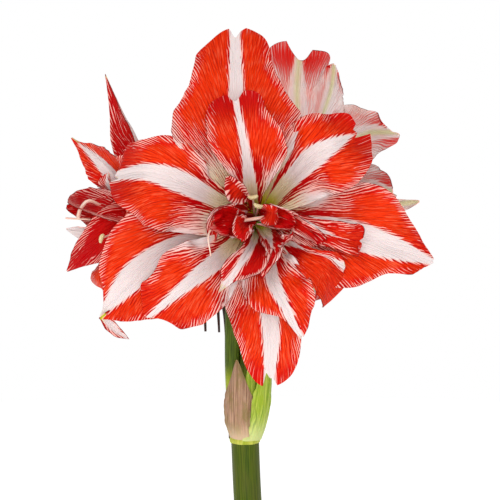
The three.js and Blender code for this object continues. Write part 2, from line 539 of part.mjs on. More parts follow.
function potGeometry() {
  const collarFoot = POT_HEIGHT - POT_COLLAR_HEIGHT;
  const outline = [
    [0, 0], [POT_FOOT_RADIUS - POT_BEVEL, 0], [POT_FOOT_RADIUS, POT_BEVEL],
    [potOuterRadius(collarFoot), collarFoot],
    [POT_RIM_RADIUS - 2 * POT_BEVEL, collarFoot + POT_BEVEL], [POT_RIM_RADIUS, POT_HEIGHT - POT_BEVEL],
    [POT_RIM_RADIUS - POT_BEVEL, POT_HEIGHT], [potInnerRadius(POT_HEIGHT) + POT_BEVEL, POT_HEIGHT],
    [potInnerRadius(POT_HEIGHT), POT_HEIGHT - POT_BEVEL], [potInnerRadius(POT_FLOOR), POT_FLOOR],
    [0, POT_FLOOR],
  ];
  let pot = solidOf(turned(outline, POT_SIDES));
  for (let i = 0; i < DRAIN_COUNT; i += 1) {
    const angle = (2 * Math.PI * (i + 0.5)) / DRAIN_COUNT;
    const drill = [[0, -5], [DRAIN_RADIUS, -5], [DRAIN_RADIUS, POT_FLOOR + 5], [0, POT_FLOOR + 5]];
    const drain = turned(drill, 12);
    drain.translate(DRAIN_CIRCLE * Math.cos(angle), DRAIN_CIRCLE * Math.sin(angle), 0);
    pot = pot.subtract(solidOf(drain));
  }
  return geometryOf(pot);
}

// Soil: fills the pot to a slight crown, with a pocket for the bulb and its roots
function soilGeometry() {
  const radius = (height) => potInnerRadius(height) - CLEARANCE - 0.2;
  const floor = POT_FLOOR + CLEARANCE;
  const edge = SOIL_TOP - SOIL_CROWN;
  const outline = [
    [0, floor], [radius(floor), floor], [radius(edge), edge], [0.6 * radius(edge), SOIL_TOP], [0, SOIL_TOP],
  ];
  return geometryOf(solidOf(turned(outline, POT_SIDES)).subtract(bulbSolid(CLEARANCE + 0.1)));
}

// Leaves stand in the neck's cup and arch out over the rim: azimuth, [reach, height] above the cup's floor
// and drift
const LEAF_BASE_REACH = 13.4;
const LEAVES = [
  [182, [[LEAF_BASE_REACH, CLEARANCE], [20, 52], [42, 112], [88, 148], [142, 142]], -16],
  [6, [[LEAF_BASE_REACH, CLEARANCE], [21, 56], [50, 114], [102, 136], [152, 112]], 14],
  [272, [[LEAF_BASE_REACH, CLEARANCE], [19, 48], [36, 94], [68, 124], [104, 130]], 18],
  [93, [[LEAF_BASE_REACH, CLEARANCE], [20, 54], [38, 114], [74, 154], [120, 158]], -12],
];
const LEAF_SHAPE = {
  round: 4, rows: 10, columns: 4, fold: [0, 0.1, 0.15, 0.1], curl: [0.67, 0.55, 0.35, 0.3],
  ruffle: [1, 2, 0.2],
  thickness: [2.2, 1.8, 1.4, 1.2],
};
const LEAF_HALF_WIDTHS = [7.6, 12.5, 18, 19, 13];

// Spathe: two papery bracts round the foot of the pedicels, as azimuth, [reach, height] and half-width
const BRACT_SHAPE = { ...OUTER, round: 4, fold: [0, 0], thickness: [0.8, 0.8] };
const SPATHE_LEFT_LINE = [[12.2, 1], [15, 14], [16, 30], [15.6, 46], [15, 64]];
const SPATHE_LEFT = fanned(-118, SPATHE_LEFT_LINE, [14.2, 17.5, 16, 10, 3], {
  ...BRACT_SHAPE, curl: [1.16, 1.12, 0.9, 0.5], drift: 6, ruffle: [0.8, 2, 0.3],
});
const SPATHE_RIGHT_LINE = [[12.2, 1], [17.5, 14], [22, 32], [24.5, 52], [24.5, 76]];
const SPATHE_RIGHT = fanned(4, SPATHE_RIGHT_LINE, [9, 15, 18, 13, 4], {
  ...BRACT_SHAPE, curl: [0.74, 0.85, 0.8, 0.5], drift: -34, ruffle: [0.8, 2, 0.8],
});

// Withered bracteoles: thin strips that rise from the collar behind the left pedicel and hang at the left
const BRACTEOLES = [
  [
    [-14.7, 8.9, 422.5], [-15, 9.5, 470], [-17, 11, 520], [-21.5, 6.5, 540], [-25.5, -1, 532],
    [-24.6, -6, 504],
  ],
  [
    [-16.8, 6.3, 422.5], [-18.4, 6.6, 470], [-21, 11, 516], [-28, 10, 544], [-35, -1, 534],
    [-34.5, -8, 505],
  ],
];
const BRACTEOLE_RADII = [1, 1, 1.1, 1.2, 0.7];

// Materials
const material = (color, roughness) => new THREE.MeshStandardMaterial({ color, roughness, metalness: 0 });
const CLAY = material(0xb5633f, 0.85);
const SOIL = material(0x3a2a1e, 0.95);
const BULB_SKIN = material(0x9a7350, 0.7);
const GREEN = material(0x7f9b3e, 0.45);
const LEAF = material(0x4f7d2c, 0.45);
const PETAL = material(0xe02c12, 0.5);
const SPATHE_PINK = material(0xb98a78, 0.6);
const SPATHE_GREEN = material(0xaab56a, 0.5);
const WITHERED = material(0x4a2c22, 0.8);

const plant = new THREE.Group();

function add(name, geometry, finish) {
  const mesh = new THREE.Mesh(geometry, finish);
  mesh.name = name;
  plant.add(mesh);
  return mesh;
}

add("pot", potGeometry(), CLAY);
add("soil", soilGeometry(), SOIL);
add("bulb", bulbGeometry(), BULB_SKIN);
add("scape", scapeGeometry(), GREEN);
LEAVES.forEach(([azimuth, profile, drift], i) => {
  const shape = fanned(azimuth, profile, LEAF_HALF_WIDTHS, { ...LEAF_SHAPE, drift });
  const leaf = add(`leaf_${i + 1}`, blade(shape), LEAF);
  placed(leaf, [0, 0, NECK_CUP_FLOOR], 0, 90);
});
const [collarX, collarY, collarTop] = SCAPE_LINE[SCAPE_LINE.length - 1];
const collarFoot = [collarX, collarY, collarTop - COLLAR_HEIGHT];
placed(add("spathe_left", blade(SPATHE_LEFT), SPATHE_PINK), collarFoot, 0, 90);
placed(add("spathe_right", blade(SPATHE_RIGHT), SPATHE_GREEN), collarFoot, 0, 90);
BRACTEOLES.forEach((line, i) => add(`bracteole_${i + 1}`, stalk(line, BRACTEOLE_RADII, 4, 14), WITHERED));
const PETALS = { front: FRONT_PETALS, left: LEFT_PETALS, right: RIGHT_PETALS };
for (const [name, { throat, turn, tilt }] of Object.entries(BLOOMS)) {
  placed(add(`bloom_${name}`, bloomGeometry(PETALS[name]), PETAL), throat, turn, tilt);
}

export default plant;
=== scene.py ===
# Potted double amaryllis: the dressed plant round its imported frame.
# Metres, +Z up. The origin is the middle of the pot's underside, and the front bloom faces -Y.
# Lengths in the tables of shapes are in millimetres.
import math

import bpy
import numpy as np
from mathutils import Matrix, Vector


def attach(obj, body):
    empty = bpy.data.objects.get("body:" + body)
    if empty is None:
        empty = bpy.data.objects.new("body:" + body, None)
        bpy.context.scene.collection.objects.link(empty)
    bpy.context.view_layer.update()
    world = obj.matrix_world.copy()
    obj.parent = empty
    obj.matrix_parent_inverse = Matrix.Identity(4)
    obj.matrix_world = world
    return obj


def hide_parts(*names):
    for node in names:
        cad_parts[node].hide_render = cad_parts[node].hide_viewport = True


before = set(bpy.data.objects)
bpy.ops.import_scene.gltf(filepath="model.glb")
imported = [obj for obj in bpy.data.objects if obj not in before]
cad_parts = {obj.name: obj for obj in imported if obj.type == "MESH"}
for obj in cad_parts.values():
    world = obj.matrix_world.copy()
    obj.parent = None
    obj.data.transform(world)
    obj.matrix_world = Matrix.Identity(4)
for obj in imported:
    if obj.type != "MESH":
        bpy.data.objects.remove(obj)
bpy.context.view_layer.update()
bpy.ops.object.select_all(action="DESELECT")

MM = 0.001
CIRCLE = 2 * math.pi
# Veins and fibres are carried in centimetres
PER_CM = 10
# Points taken along the line of a stalk and along a turned outline, to step evenly on them
LINE_STEPS, OUTLINE_STEPS = 400, 600


# Curves and random numbers

def through(values, u):
    """Catmull-Rom values at u from 0 to 1 through evenly spaced numbers or points."""
    knots = np.asarray(values, float)
    u = np.asarray(u, float)
    span = len(knots) - 1
    i = np.minimum((u * span).astype(int), span - 1)
    w = u * span - i
    ends = np.concatenate([[2 * knots[0] - knots[1]], knots, [2 * knots[-1] - knots[-2]]])
    a, b, c, d = ends[i], ends[i + 1], ends[i + 2], ends[i + 3]
    if knots.ndim > 1:
        w = w[..., None]
    start, end = (c - a) / 2, (d - b) / 2
    return (2 * b - 2 * c + start + end) * w**3 + (3 * c - 3 * b - 2 * start - end) * w**2 + start * w + b


def unit(vectors):
    return vectors / np.maximum(np.linalg.norm(vectors, axis=-1, keepdims=True), 1e-9)


def smooth(low, high, x):
    t = np.clip((x - low) / (high - low), 0, 1)
    return t * t * (3 - 2 * t)


def wander(random, count, u):
    """A smooth random line over u, from -1 to 1, with about count turns."""
    return through(random.uniform(-1, 1, count + 2), u)


def travelled(points):
    """How far along a line each of its points is."""
    return np.concatenate([[0], np.cumsum(np.linalg.norm(np.diff(points, axis=0), axis=-1))])


def bumps(seed, waves, count=40):
    """A smooth random relief over the plane, about -1 to 1, from waves of the given lengths in mm."""
    random = np.random.default_rng(seed)
    angle, phase = random.uniform(0, CIRCLE, count), random.uniform(0, CIRCLE, count)
    pace = CIRCLE / random.uniform(*waves, count)

    def height(x, y):
        x, y = np.asarray(x)[..., None], np.asarray(y)[..., None]
        crests = np.sin((x * np.cos(angle) + y * np.sin(angle)) * pace + phase)
        return crests.sum(-1) / math.sqrt(count / 2) / 1.6
    return height


# Petals, leaves and bracts share one blade. It starts at the middle of a rosette that faces -Y, and its
# spine is a list of (right, up, forward). left and right are its half-widths along the spine, fold and curl
# bend its halves up in radians, tuck curls the left and right half more, and roll turns it about the spine.
# ruffle is (height, waves, phase) of its margin and frill (height, period) of the margin's fine waves.
# crumple is the height of its dents, crown moves the tip's edge out or in from left to right, and round says
# how blunt the tip is. pleat and groove are the depths of the lengthwise pleats and of the midrib's groove,
# and ragged is the share of the width that its edge wanders.
PLAIN_BLADE = dict(
    fold=(0.35, 0.15, 0.15), curl=(0.9, 0.1, -0.3), roll=(0, 0), tuck=(0, 0), ruffle=(3, 3.2, 0),
    frill=(0.7, 5.5), crumple=0, crown=(0, 0, 0), round=8, pleat=0.35, groove=0.5, ragged=0.012,
)
# The grid's rows draw together at the tip, and its columns at the margins
ROW_CLOSENESS = 1.35
COLUMN_ARC = 1.25
TIP_CLOSENESS = 0.995
LEAST_CURL = 0.02
NOTCH_SPACING = 7
# Powers by which the ruffle, the frill and the crown keep to the margin or the tip
RUFFLE_SHARPNESS, FRILL_SHARPNESS, CROWN_SHARPNESS = 3, 8, 6
# The two waves of a ruffle: strength, pace, lead of the phase, and shift of the right half
RUFFLE_WAVES = ((1, 1, 1, 0.31), (0.45, 1.9, 2.3, 0.6))
# Half-width at which the ruffle has its full height
RUFFLE_WIDTH = 12
DENT_COUNT = 4
# The two sets of pleats: strength, width, and turn for each seed
PLEATS = ((1, 8.5, 1.7), (0.6, 4.7, 0.9))
GROOVE_WIDTH = 1.6


def blade_frame(s, u):
    """Middle line of a blade, with its directions along, aside and outwards at each u."""
    spine = np.array([(x, -forward, z) for x, z, forward in s["spine"]], float)
    step = 1e-3
    tangent = unit(through(spine, np.minimum(u + step, 1)) - through(spine, np.maximum(u - step, 0)))
    straight = math.degrees(math.atan2(spine[-1][2] - spine[0][2], spine[-1][0] - spine[0][0]))
    angle = np.radians(through(s.get("bearing", (straight, straight)), u))
    level = np.stack([np.sin(angle), np.zeros_like(angle), -np.cos(angle)], axis=-1)
    side = unit(level - (tangent * level).sum(-1, keepdims=True) * tangent)
    face = np.cross(side, tangent)
    roll = np.radians(through(s["roll"], u))[:, None]
    side, face = side * np.cos(roll) + face * np.sin(roll), face * np.cos(roll) - side * np.sin(roll)
    return through(spine, u), tangent, side, face


def half_widths(s, u, length, random):
    """Half-widths left and right of the spine, closed at the tip, with a slightly ragged edge."""
    closing = np.sqrt(1 - (u * TIP_CLOSENESS) ** s["round"])
    turns = int(length / NOTCH_SPACING)
    halves = []
    for key in ("left", "right"):
        coarse, fine = wander(random, turns, u), wander(random, 3 * turns, u)
        notches = 1 + s["ragged"] * coarse + 0.5 * s["ragged"] * fine
        halves.append(through(s[key], u) * closing * notches)
    return halves


def ruffled(lift, s, along, v, half, length, random):
    """The lift with the ruffle, the frill and the crumple added."""
    on_right, reach = v > 0, np.abs(v)
    height, waves, phase = s["ruffle"]
    wave = sum(strength * np.sin(CIRCLE * (pace * waves * along + lead * phase + shift * on_right))
               for strength, pace, lead, shift in RUFFLE_WAVES)
    rise = np.clip((along - 0.15) / 0.3, 0, 1) * np.minimum(1, half / RUFFLE_WIDTH)
    lift = lift + height * wave * rise * reach**RUFFLE_SHARPNESS
    frill_height, frill_period = s["frill"]
    for flag in (v <= 0, on_right):
        fine = wander(random, max(4, int(2 * length / frill_period)), along[:, 0])[:, None]
        lift = lift + flag * frill_height * fine * rise * reach**FRILL_SHARPNESS
    if s["crumple"]:
        for _ in range(DENT_COUNT):
            waves = random.uniform(1.2, 3.2, 2)
            turn = random.uniform(0, CIRCLE, 2)
            dent = np.sin(CIRCLE * waves[0] * along + turn[0]) * np.sin(math.pi * waves[1] * v + turn[1])
            lift = lift + 0.7 * s["crumple"] * dent * rise
    return lift


def blade_surface(shape, rows, columns, seed):
    """Points of a blade's middle surface, row by row, with u, v and the half-width at each point."""
    s = {**PLAIN_BLADE, **shape}
    random = np.random.default_rng(seed)
    u = 1 - (1 - np.linspace(0, 1, rows + 1)) ** ROW_CLOSENESS
    v = (np.sin(np.linspace(-1, 1, columns + 1) * COLUMN_ARC) / math.sin(COLUMN_ARC))[None]
    along, reach = u[:, None], np.abs(v)
    middle, tangent, side, face = blade_frame(s, u)
    length = travelled(middle)[-1]
    halves = half_widths(s, u, length, random)
    half = np.where(v < 0, halves[0][:, None], halves[1][:, None])
    fold = through(s["fold"], u)[:, None]
    curl = through(s["curl"], u)[:, None] + np.where(v < 0, *s["tuck"]) * smooth(0.1, 0.5, along)
    curl = np.where(np.abs(curl) < LEAST_CURL, LEAST_CURL, curl)
    lateral = half * (np.sin(fold + curl * reach) - np.sin(fold)) / curl * np.sign(v)
    lift = half * (np.cos(fold) - np.cos(fold + curl * reach)) / curl
    lift = ruffled(lift, s, along, v, half, length, random)
    across = vein_course(along, v, half)[0]
    pleats = sum(strength * np.sin(across * CIRCLE / width + turn * seed)
                 for strength, width, turn in PLEATS)
    lift = lift + s["pleat"] * pleats * smooth(0.08, 0.4, along) * smooth(0, 0.3, reach)
    groove = s["groove"] * np.exp(-((half * reach / GROOVE_WIDTH) ** 2))
    lift = lift - groove * smooth(0.05, 0.3, along) * smooth(0, 0.15, 1 - along)
    forward = through(s["crown"], (v[0] + 1) / 2)[None] * along**CROWN_SHARPNESS
    points = (middle[:, None] + side[:, None] * lateral[..., None] + face[:, None] * lift[..., None]
              + tangent[:, None] * forward[..., None])
    return points, np.broadcast_to(along, half.shape), np.broadcast_to(v, half.shape), half, length


def vein_course(u, v, half):
    """The vein that each point of a blade is on, in mm from the midrib, and how far it has fanned out."""
    fan = ((0.1 + u) / 0.6) ** 0.5 * np.exp(1.6 * (u - 0.5))
    return v * half / fan, np.log2(fan)


# Making and finishing pieces

def select_only(*pieces):
    bpy.ops.object.select_all(action="DESELECT")
    for piece in pieces:
        piece.select_set(True)
    if pieces:
        bpy.context.view_layer.objects.active = pieces[0]


def named(name):
    """The object in hand, under its own name."""
    piece = bpy.context.object
    piece.name = piece.data.name = name
    return piece


def places_of(piece):
    flat = np.empty(len(piece.data.vertices) * 3)
    piece.data.vertices.foreach_get("co", flat)
    return flat.reshape(-1, 3)


def lay(piece, places):
    """Moves a piece's points to places in mm."""
    piece.data.vertices.foreach_set("co", (places * MM).ravel())
    piece.data.update()


def carry(piece, name, values):
    """A vector attribute on the piece's points."""
    attribute = piece.data.attributes.new(name, "FLOAT_VECTOR", "POINT")
    attribute.data.foreach_set("vector", np.ascontiguousarray(values, np.float32).ravel())


def carry_round(piece, girth, around, up, seed):
    """The vein attribute of a round piece, from its girth's radius, angle and height in mm."""
    radius = girth / PER_CM
    veins = [radius * np.cos(around) + seed, up / PER_CM, radius * np.sin(around)]
    carry(piece, "vein", np.stack(veins, axis=-1))


def grid_piece(name, points):
    """A grid primitive laid over rows of points in mm; its faces look the way that side x along does."""
    rows, columns = points.shape[0] - 1, points.shape[1] - 1
    select_only()
    bpy.ops.mesh.primitive_grid_add(x_subdivisions=columns, y_subdivisions=rows, size=2)
    piece = named(name)
    places = places_of(piece)
    column = np.rint((places[:, 0] + 1) / 2 * columns).astype(int)
    row = np.rint((places[:, 1] + 1) / 2 * rows).astype(int)
    lay(piece, points[row, column])
    return piece, row, column


def ball_piece(name, sides, rings):
    """A sphere primitive, with each point's rise from pole to pole, its angle, and whether it is a pole."""
    select_only()
    bpy.ops.mesh.primitive_uv_sphere_add(segments=sides, ring_count=rings, radius=1)
    piece = named(name)
    x, y, z = places_of(piece).T
    return piece, 1 - np.arccos(np.clip(z, -1, 1)) / math.pi, np.arctan2(y, x), np.hypot(x, y) < 1e-4


def finish_with(piece, kind, **settings):
    """Adds a modifier and applies it."""
    select_only(piece)
    modifier = piece.modifiers.new(kind.lower(), kind)
    for key, value in settings.items():
        setattr(modifier, key, value)
    bpy.ops.object.modifier_apply(modifier=modifier.name)


def thicken(piece, thickness, **settings):
    """Gives a sheet its thickness in mm, half to each side."""
    finish_with(piece, "SOLIDIFY", thickness=thickness * MM, offset=0, **settings)


def join(name, pieces):
    select_only(*pieces)
    if len(pieces) > 1:
        bpy.ops.object.join()
    return named(name)


def soften(piece, degrees=50):
    select_only(piece)
    bpy.ops.object.shade_smooth_by_angle(angle=math.radians(degrees))


def stands_for(piece, node, slot, *materials):
    """Finishes a piece: its materials, the body it rides on, and the CAD node it stands for, which it hides.
    slot is not used.
    """
    for material in materials:
        piece.data.materials.append(material)
    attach(piece, "root")
    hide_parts(node)


# How many ridges a stalk has, in each of three overlaid sets
RIDGES = (3, 5, 8)


def stalk_piece(name, line, radii, sides=24, rings=60, seed=0, rough=0.0, skin=None):
    """A sphere primitive drawn out along a line in mm, with its radius taken through the given radii."""
    piece, height, around, pole = ball_piece(name, sides, rings + 2)
    t = np.clip((height * (rings + 2) - 1) / rings, 0, 1)
    # Even steps along the line, with frames carried along it
    dense = through(line, np.linspace(0, 1, LINE_STEPS))
    way = travelled(dense)
    way /= way[-1]
    stations = np.linspace(0, 1, rings + 1)
    centres = np.stack([np.interp(stations, way, dense[:, k]) for k in range(3)], axis=-1)
    tangents = unit(np.gradient(centres, axis=0))
    normal = np.cross(tangents[0], (0, 1, 0))
    if np.linalg.norm(normal) < 0.2:
        normal = np.cross(tangents[0], (1, 0, 0))
    normals = []
    for tangent in tangents:
        normal = unit(normal - (normal @ tangent) * tangent)
        normals.append(normal)
    normals = np.array(normals)
    binormals = np.cross(tangents, normals)
    station = np.rint(t * rings).astype(int)
    random = np.random.default_rng(seed)
    ridges = sum(np.cos(k * around + random.uniform(0, 6.28)) for k in RIDGES) / len(RIDGES)
    radius = through(radii, t) * (1 + rough * ridges)
    radius[pole] = 0
    lay(piece, centres[station] + normals[station] * (radius * np.cos(around))[:, None]
        + binormals[station] * (radius * np.sin(around))[:, None])
    carry_round(piece, np.mean(radii), around, t * travelled(centres)[-1], seed)
    if skin:
        piece.data.materials.append(skin)
    return piece


def turned_piece(name, outline, sides, rings, relief=None, seed=0):
    """A sphere primitive laid over an outline of (radius, height) in mm. relief(angle, height, radius) adds
    to the radius."""
    piece, rise, around, pole = ball_piece(name, sides, rings)
    dense = through([(r, h, 0) for r, h in outline], np.linspace(0, 1, OUTLINE_STEPS))
    way = travelled(dense)
    radius = np.interp(rise * way[-1], way, dense[:, 0])
    height = np.interp(rise * way[-1], way, dense[:, 1])
    if relief:
        radius = radius + relief(around, height, radius)
    radius = np.where(pole, 0, np.maximum(radius, 0.05))
    lay(piece, np.stack([radius * np.cos(around), radius * np.sin(around), height], axis=-1))
    carry_round(piece, dense[:, 0].max(), around, rise * way[-1], seed)
    return piece


# Materials

def srgb(red, green, blue):
    """A colour as seen on screen, 0 to 255, as the linear colour that shaders take."""
    def linear(value):
        value /= 255
        return value / 12.92 if value <= 0.04045 else ((value + 0.055) / 1.055) ** 2.4
    return (linear(red), linear(green), linear(blue), 1.0)


class Nodes:
    """Short calls to fill a node tree."""

    def __init__(self, tree):
        self.tree = tree

    def fill(self, socket, value):
        """Links an output to a socket, or sets the socket to a constant."""
        if isinstance(value, bpy.types.NodeSocket):
            self.tree.links.new(value, socket)
        else:
            socket.default_value = value

    def feed(self, sockets, **values):
        """Fills sockets by name, with _ for each space in a name."""
        for key, value in values.items():
            self.fill(sockets[key.replace("_", " ")], value)

    def add(self, kind, values=None, **settings):
        node = self.tree.nodes.new(kind)
        for key, value in settings.items():
            setattr(node, key, value)
        for key, value in (values or {}).items():
            self.fill(node.inputs[key], value)
        return node

    def math(self, operation, a, b=0.0):
        return self.add("ShaderNodeMath", {0: a, 1: b}, operation=operation).outputs[0]

    def sum(self, a, b):
        return self.math("ADD", a, b)

    def times(self, a, b):
        return self.math("MULTIPLY", a, b)

    def swing(self, value, amount):
        """A noise value about its middle, times an amount."""
        return self.times(self.math("SUBTRACT", value, 0.5), amount)

    def ramp(self, value, low, high, start=0.0, end=1.0, kind="SMOOTHSTEP"):
        return self.add("ShaderNodeMapRange", {0: value, 1: low, 2: high, 3: start, 4: end},
                        interpolation_type=kind).outputs[0]

    def mix(self, factor, a, b):
        return self.add("ShaderNodeMix", {0: factor, 6: a, 7: b}, data_type="RGBA").outputs[2]

    def stretched(self, vector, scale, detail=3.0, roughness=0.55, offset=(0.0, 0.0, 0.0)):
        moved = {"Vector": vector, "Scale": scale, "Location": offset}
        mapped = self.add("ShaderNodeMapping", moved).outputs[0]
        settings = {"Vector": mapped, "Scale": 1.0, "Detail": detail, "Roughness": roughness}
        return self.add("ShaderNodeTexNoise", settings).outputs[0]

    def attribute(self, name, output="Vector"):
        return self.add("ShaderNodeAttribute", attribute_name=name).outputs[output]

    def place(self):
        return self.add("ShaderNodeTexCoord").outputs["Object"]

    def parts(self, vector):
        return self.add("ShaderNodeSeparateXYZ", {0: vector}).outputs

    def bump(self, height, distance, strength=1.0):
        settings = {"Height": height, "Distance": distance, "Strength": strength}
        return self.add("ShaderNodeBump", settings).outputs[0]

    def group(self, tree, **values):
        """A node group in place, with its sockets filled by name."""
        node = self.add("ShaderNodeGroup", node_tree=tree)
        self.feed(node.inputs, **values)
        return node.outputs


def new_group(name, inputs, outputs):
    """A node group with named sockets. An input is a name and its default, or None for a vector."""
    group = bpy.data.node_groups.new(name, "ShaderNodeTree")
    for label, default in inputs.items():
        kind = "NodeSocketVector" if default is None else "NodeSocketFloat"
        socket = group.interface.new_socket(label, in_out="INPUT", socket_type=kind)
        if default is not None:
            socket.default_value = default
    for label in outputs:
        group.interface.new_socket(label, in_out="OUTPUT", socket_type="NodeSocketFloat")
    nodes = Nodes(group)
    return group, nodes, nodes.add("NodeGroupInput").outputs, nodes.add("NodeGroupOutput").inputs


def new_material(name, **constants):
    material = bpy.data.materials.new(name)
    material.use_nodes = True
    shader = material.node_tree.nodes["Principled BSDF"].inputs
    nodes = Nodes(material.node_tree)
    nodes.feed(shader, **constants)
    return material, nodes, shader


def vein_strokes():
    """Strokes along the veins: thin dye breaks into lines, and thick dye closes up. Veins fork as they fan
    out, so each pattern is drawn at two pitches, one twice the other, and one gives way to the other."""
    inputs = {"Vein": None, "Fan": 0.0, "Dye": 0.5, "Pitch": 0.17, "Spread": 0.4, "Softness": 0.12}
    group, n, inp, out = new_group("vein strokes", inputs, ("Mask", "Line", "Fleck", "Height"))
    across, along, petal_seed = n.parts(inp["Vein"])[:3]
    forks = n.math("FLOOR", inp["Fan"])
    passing = n.ramp(n.math("SUBTRACT", inp["Fan"], forks), 0, 1, kind="LINEAR")
    staying = n.math("SUBTRACT", 1.0, passing)
    waves, flecks = [], []
    for step, weight in ((0.0, staying), (1.0, passing)):
        widened = n.times(across, n.math("POWER", 2.0, n.sum(forks, step)))
        place = n.add("ShaderNodeCombineXYZ", {0: widened, 1: along, 2: petal_seed}).outputs[0]
        sway = n.stretched(place, (1.6, 0.5, 1.0), detail=2.0)
        turns = n.sum(n.math("DIVIDE", widened, inp["Pitch"]), n.times(sway, 3.0))
        waves.append(n.times(n.math("SINE", n.times(turns, CIRCLE)), weight))
        fleck = n.stretched(place, (10.0, 0.9, 1.0), detail=2.0, offset=(3.1, 5.2, 1.0))
        flecks.append(n.times(fleck, weight))
    line, fleck = n.sum(*waves), n.sum(*flecks)
    level = n.sum(inp["Dye"], n.sum(n.times(line, inp["Spread"]), n.swing(fleck, 0.75)))
    low, high = n.math("SUBTRACT", 0.5, inp["Softness"]), n.sum(0.5, inp["Softness"])
    n.feed(out, Mask=n.ramp(level, low, high), Line=line, Fleck=fleck,
           Height=n.sum(n.times(line, 0.35), fleck))
    return group


STROKES = vein_strokes()

# Colours of the petals
WHITE = srgb(226, 210, 208)
BLUSH = srgb(246, 178, 166)
CREAM = srgb(246, 230, 180)
THROAT_YELLOW = srgb(226, 218, 50)
THROAT_GREEN = srgb(160, 204, 30)
ORANGE_RED = srgb(230, 50, 2)
SCARLET = srgb(214, 14, 0)
CRIMSON = srgb(186, 2, 8)
DARK_RED = srgb(150, 2, 6)
SALMON = srgb(242, 98, 62)
# Painted shade: the dark red of the rims stands in for the thin shadow line along the margins of overlapping
# petals
RIM_SHADE_RED = srgb(120, 24, 18)
BACK_PINK = srgb(236, 196, 188)
BACK_RED = srgb(222, 92, 76)
RIB_GREEN = srgb(196, 200, 120)


def petal_face():
    material, n, shader = new_material("petal face", Subsurface_Weight=0.05, Subsurface_Scale=0.001,
                                       Specular_IOR_Level=0.05)
    vein = n.attribute("vein")
    fan = n.parts(n.attribute("fan"))[0]
    dye, throat, tone = n.parts(n.attribute("dye"))[:3]
    marks = n.group(STROKES, Vein=vein, Fan=fan, Dye=dye)
    cloud = n.stretched(vein, (0.5, 0.35, 1.0), detail=3.0)
    # Bare ground: white, blushed where the dye starts, cream to green down the throat
    ground = n.mix(n.ramp(n.sum(dye, n.swing(cloud, 0.6)), 0.05, 0.6), WHITE, BLUSH)
    ground = n.mix(n.ramp(throat, 0.0, 0.5, 0.0, 0.8), ground, CREAM)
    ground = n.mix(n.ramp(throat, 0.5, 0.78), ground, THROAT_YELLOW)
    ground = n.mix(n.ramp(throat, 0.72, 0.95), ground, THROAT_GREEN)
    # Dye: dark in the thin strokes, scarlet to orange where it is whole, lined along the veins
    red = n.mix(n.ramp(n.sum(dye, n.swing(cloud, 1.0)), 0.7, 1.1), SCARLET, ORANGE_RED)
    red = n.mix(n.ramp(dye, 0.72, 0.4, 0.0, 0.9), red, DARK_RED)
    red = n.mix(tone, red, CRIMSON)
    light = n.times(n.ramp(marks["Fleck"], 0.5, 0.66, 0.0, 0.7), n.ramp(tone, 0.1, 0.8, 1.0, 0.1))
    red = n.mix(light, red, SALMON)
    lines = n.times(n.ramp(marks["Line"], 0.0, 0.8), n.ramp(marks["Fleck"], 0.55, 0.35, 0.3, 0.8))
    red = n.mix(lines, red, DARK_RED)
    sparkle = n.add("ShaderNodeTexNoise", {"Vector": n.place(), "Scale": 2600.0, "Detail": 1.0}).outputs[0]
    n.feed(shader, Base_Color=n.mix(marks["Mask"], ground, red),
           Normal=n.bump(n.sum(marks["Height"], n.times(sparkle, 0.12)), 0.0006, 0.7),
           Roughness=n.ramp(sparkle, 0.3, 0.7, 0.4, 0.55, "LINEAR"))
    return material


def petal_rim():
    material, n, shader = new_material("petal rim", Roughness=0.5, Specular_IOR_Level=0.1)
    dye = n.parts(n.attribute("dye"))[0]
    grain = n.stretched(n.attribute("vein"), (3.0, 3.0, 1.0))
    # Rim colour: blush where it has little dye, then a dark red that is painted shade, the shadow line along
    # overlapping petal margins
    n.feed(shader, Base_Color=n.mix(n.ramp(n.sum(dye, grain), 0.2, 0.9), BLUSH, RIM_SHADE_RED))
    return material


def petal_back():
    material, n, shader = new_material("petal back", Roughness=0.5, Subsurface_Weight=0.06,
                                       Subsurface_Scale=0.001, Specular_IOR_Level=0.15)
    vein = n.attribute("vein")
    fan, up = n.parts(n.attribute("fan"))[:2]
    dye, throat = n.parts(n.attribute("dye"))[:2]
    thin = n.math("SUBTRACT", dye, n.ramp(up, 0.7, 1.0, 0.55, 0.1))
    marks = n.group(STROKES, Vein=vein, Fan=fan, Dye=thin, Softness=0.35, Spread=0.25)
    cloud = n.stretched(vein, (0.7, 0.3, 1.0), detail=3.0)
    ground = n.mix(n.ramp(cloud, 0.35, 0.65), WHITE, BACK_PINK)
    ground = n.mix(n.ramp(throat, 0.2, 0.9), ground, RIB_GREEN)
    red = n.mix(n.ramp(n.sum(up, n.times(cloud, 0.4)), 0.6, 1.2), BACK_RED, SCARLET)
    colour = n.mix(n.times(marks["Mask"], n.ramp(up, 0.6, 1.0, 0.6, 1.0)), ground, red)
    colour = n.mix(n.times(n.attribute("rib", "Fac"), 0.6), colour, RIB_GREEN)
    n.feed(shader, Base_Color=colour, Normal=n.bump(marks["Height"], 0.0007, 0.8))
    return material


PETAL_FACE, PETAL_BACK, PETAL_RIM = petal_face(), petal_back(), petal_rim()

# Petals. band is the half-width of the white midrib band along the spine, and bare is how far up the flanks
# stay white. margin is how much dye the margin lacks, and feather how far in its white streaks run.
# tone goes from orange-red at 0 to crimson at 1, tipped is how much deeper the tip is, and full is the most
# dye.
PLAIN_DYE = dict(band=(7, 6, 5, 4, 1), bare=0.38, feather=10, margin=0.48, tone=0.05, tipped=0.2, full=1.08)


def fanned(azimuth, profile, half, drift=0, **settings):
    """Blade whose spine leaves the middle at an azimuth, from a list of (reach, forward)."""
    spine = []
    for i, (reach, forward) in enumerate(profile):
        angle = math.radians(azimuth + drift * i / (len(profile) - 1))
        spine.append((reach * math.cos(angle), reach * math.sin(angle), forward))
    return {"spine": spine, "bearing": (azimuth, azimuth + drift), "left": half, "right": half, **settings}


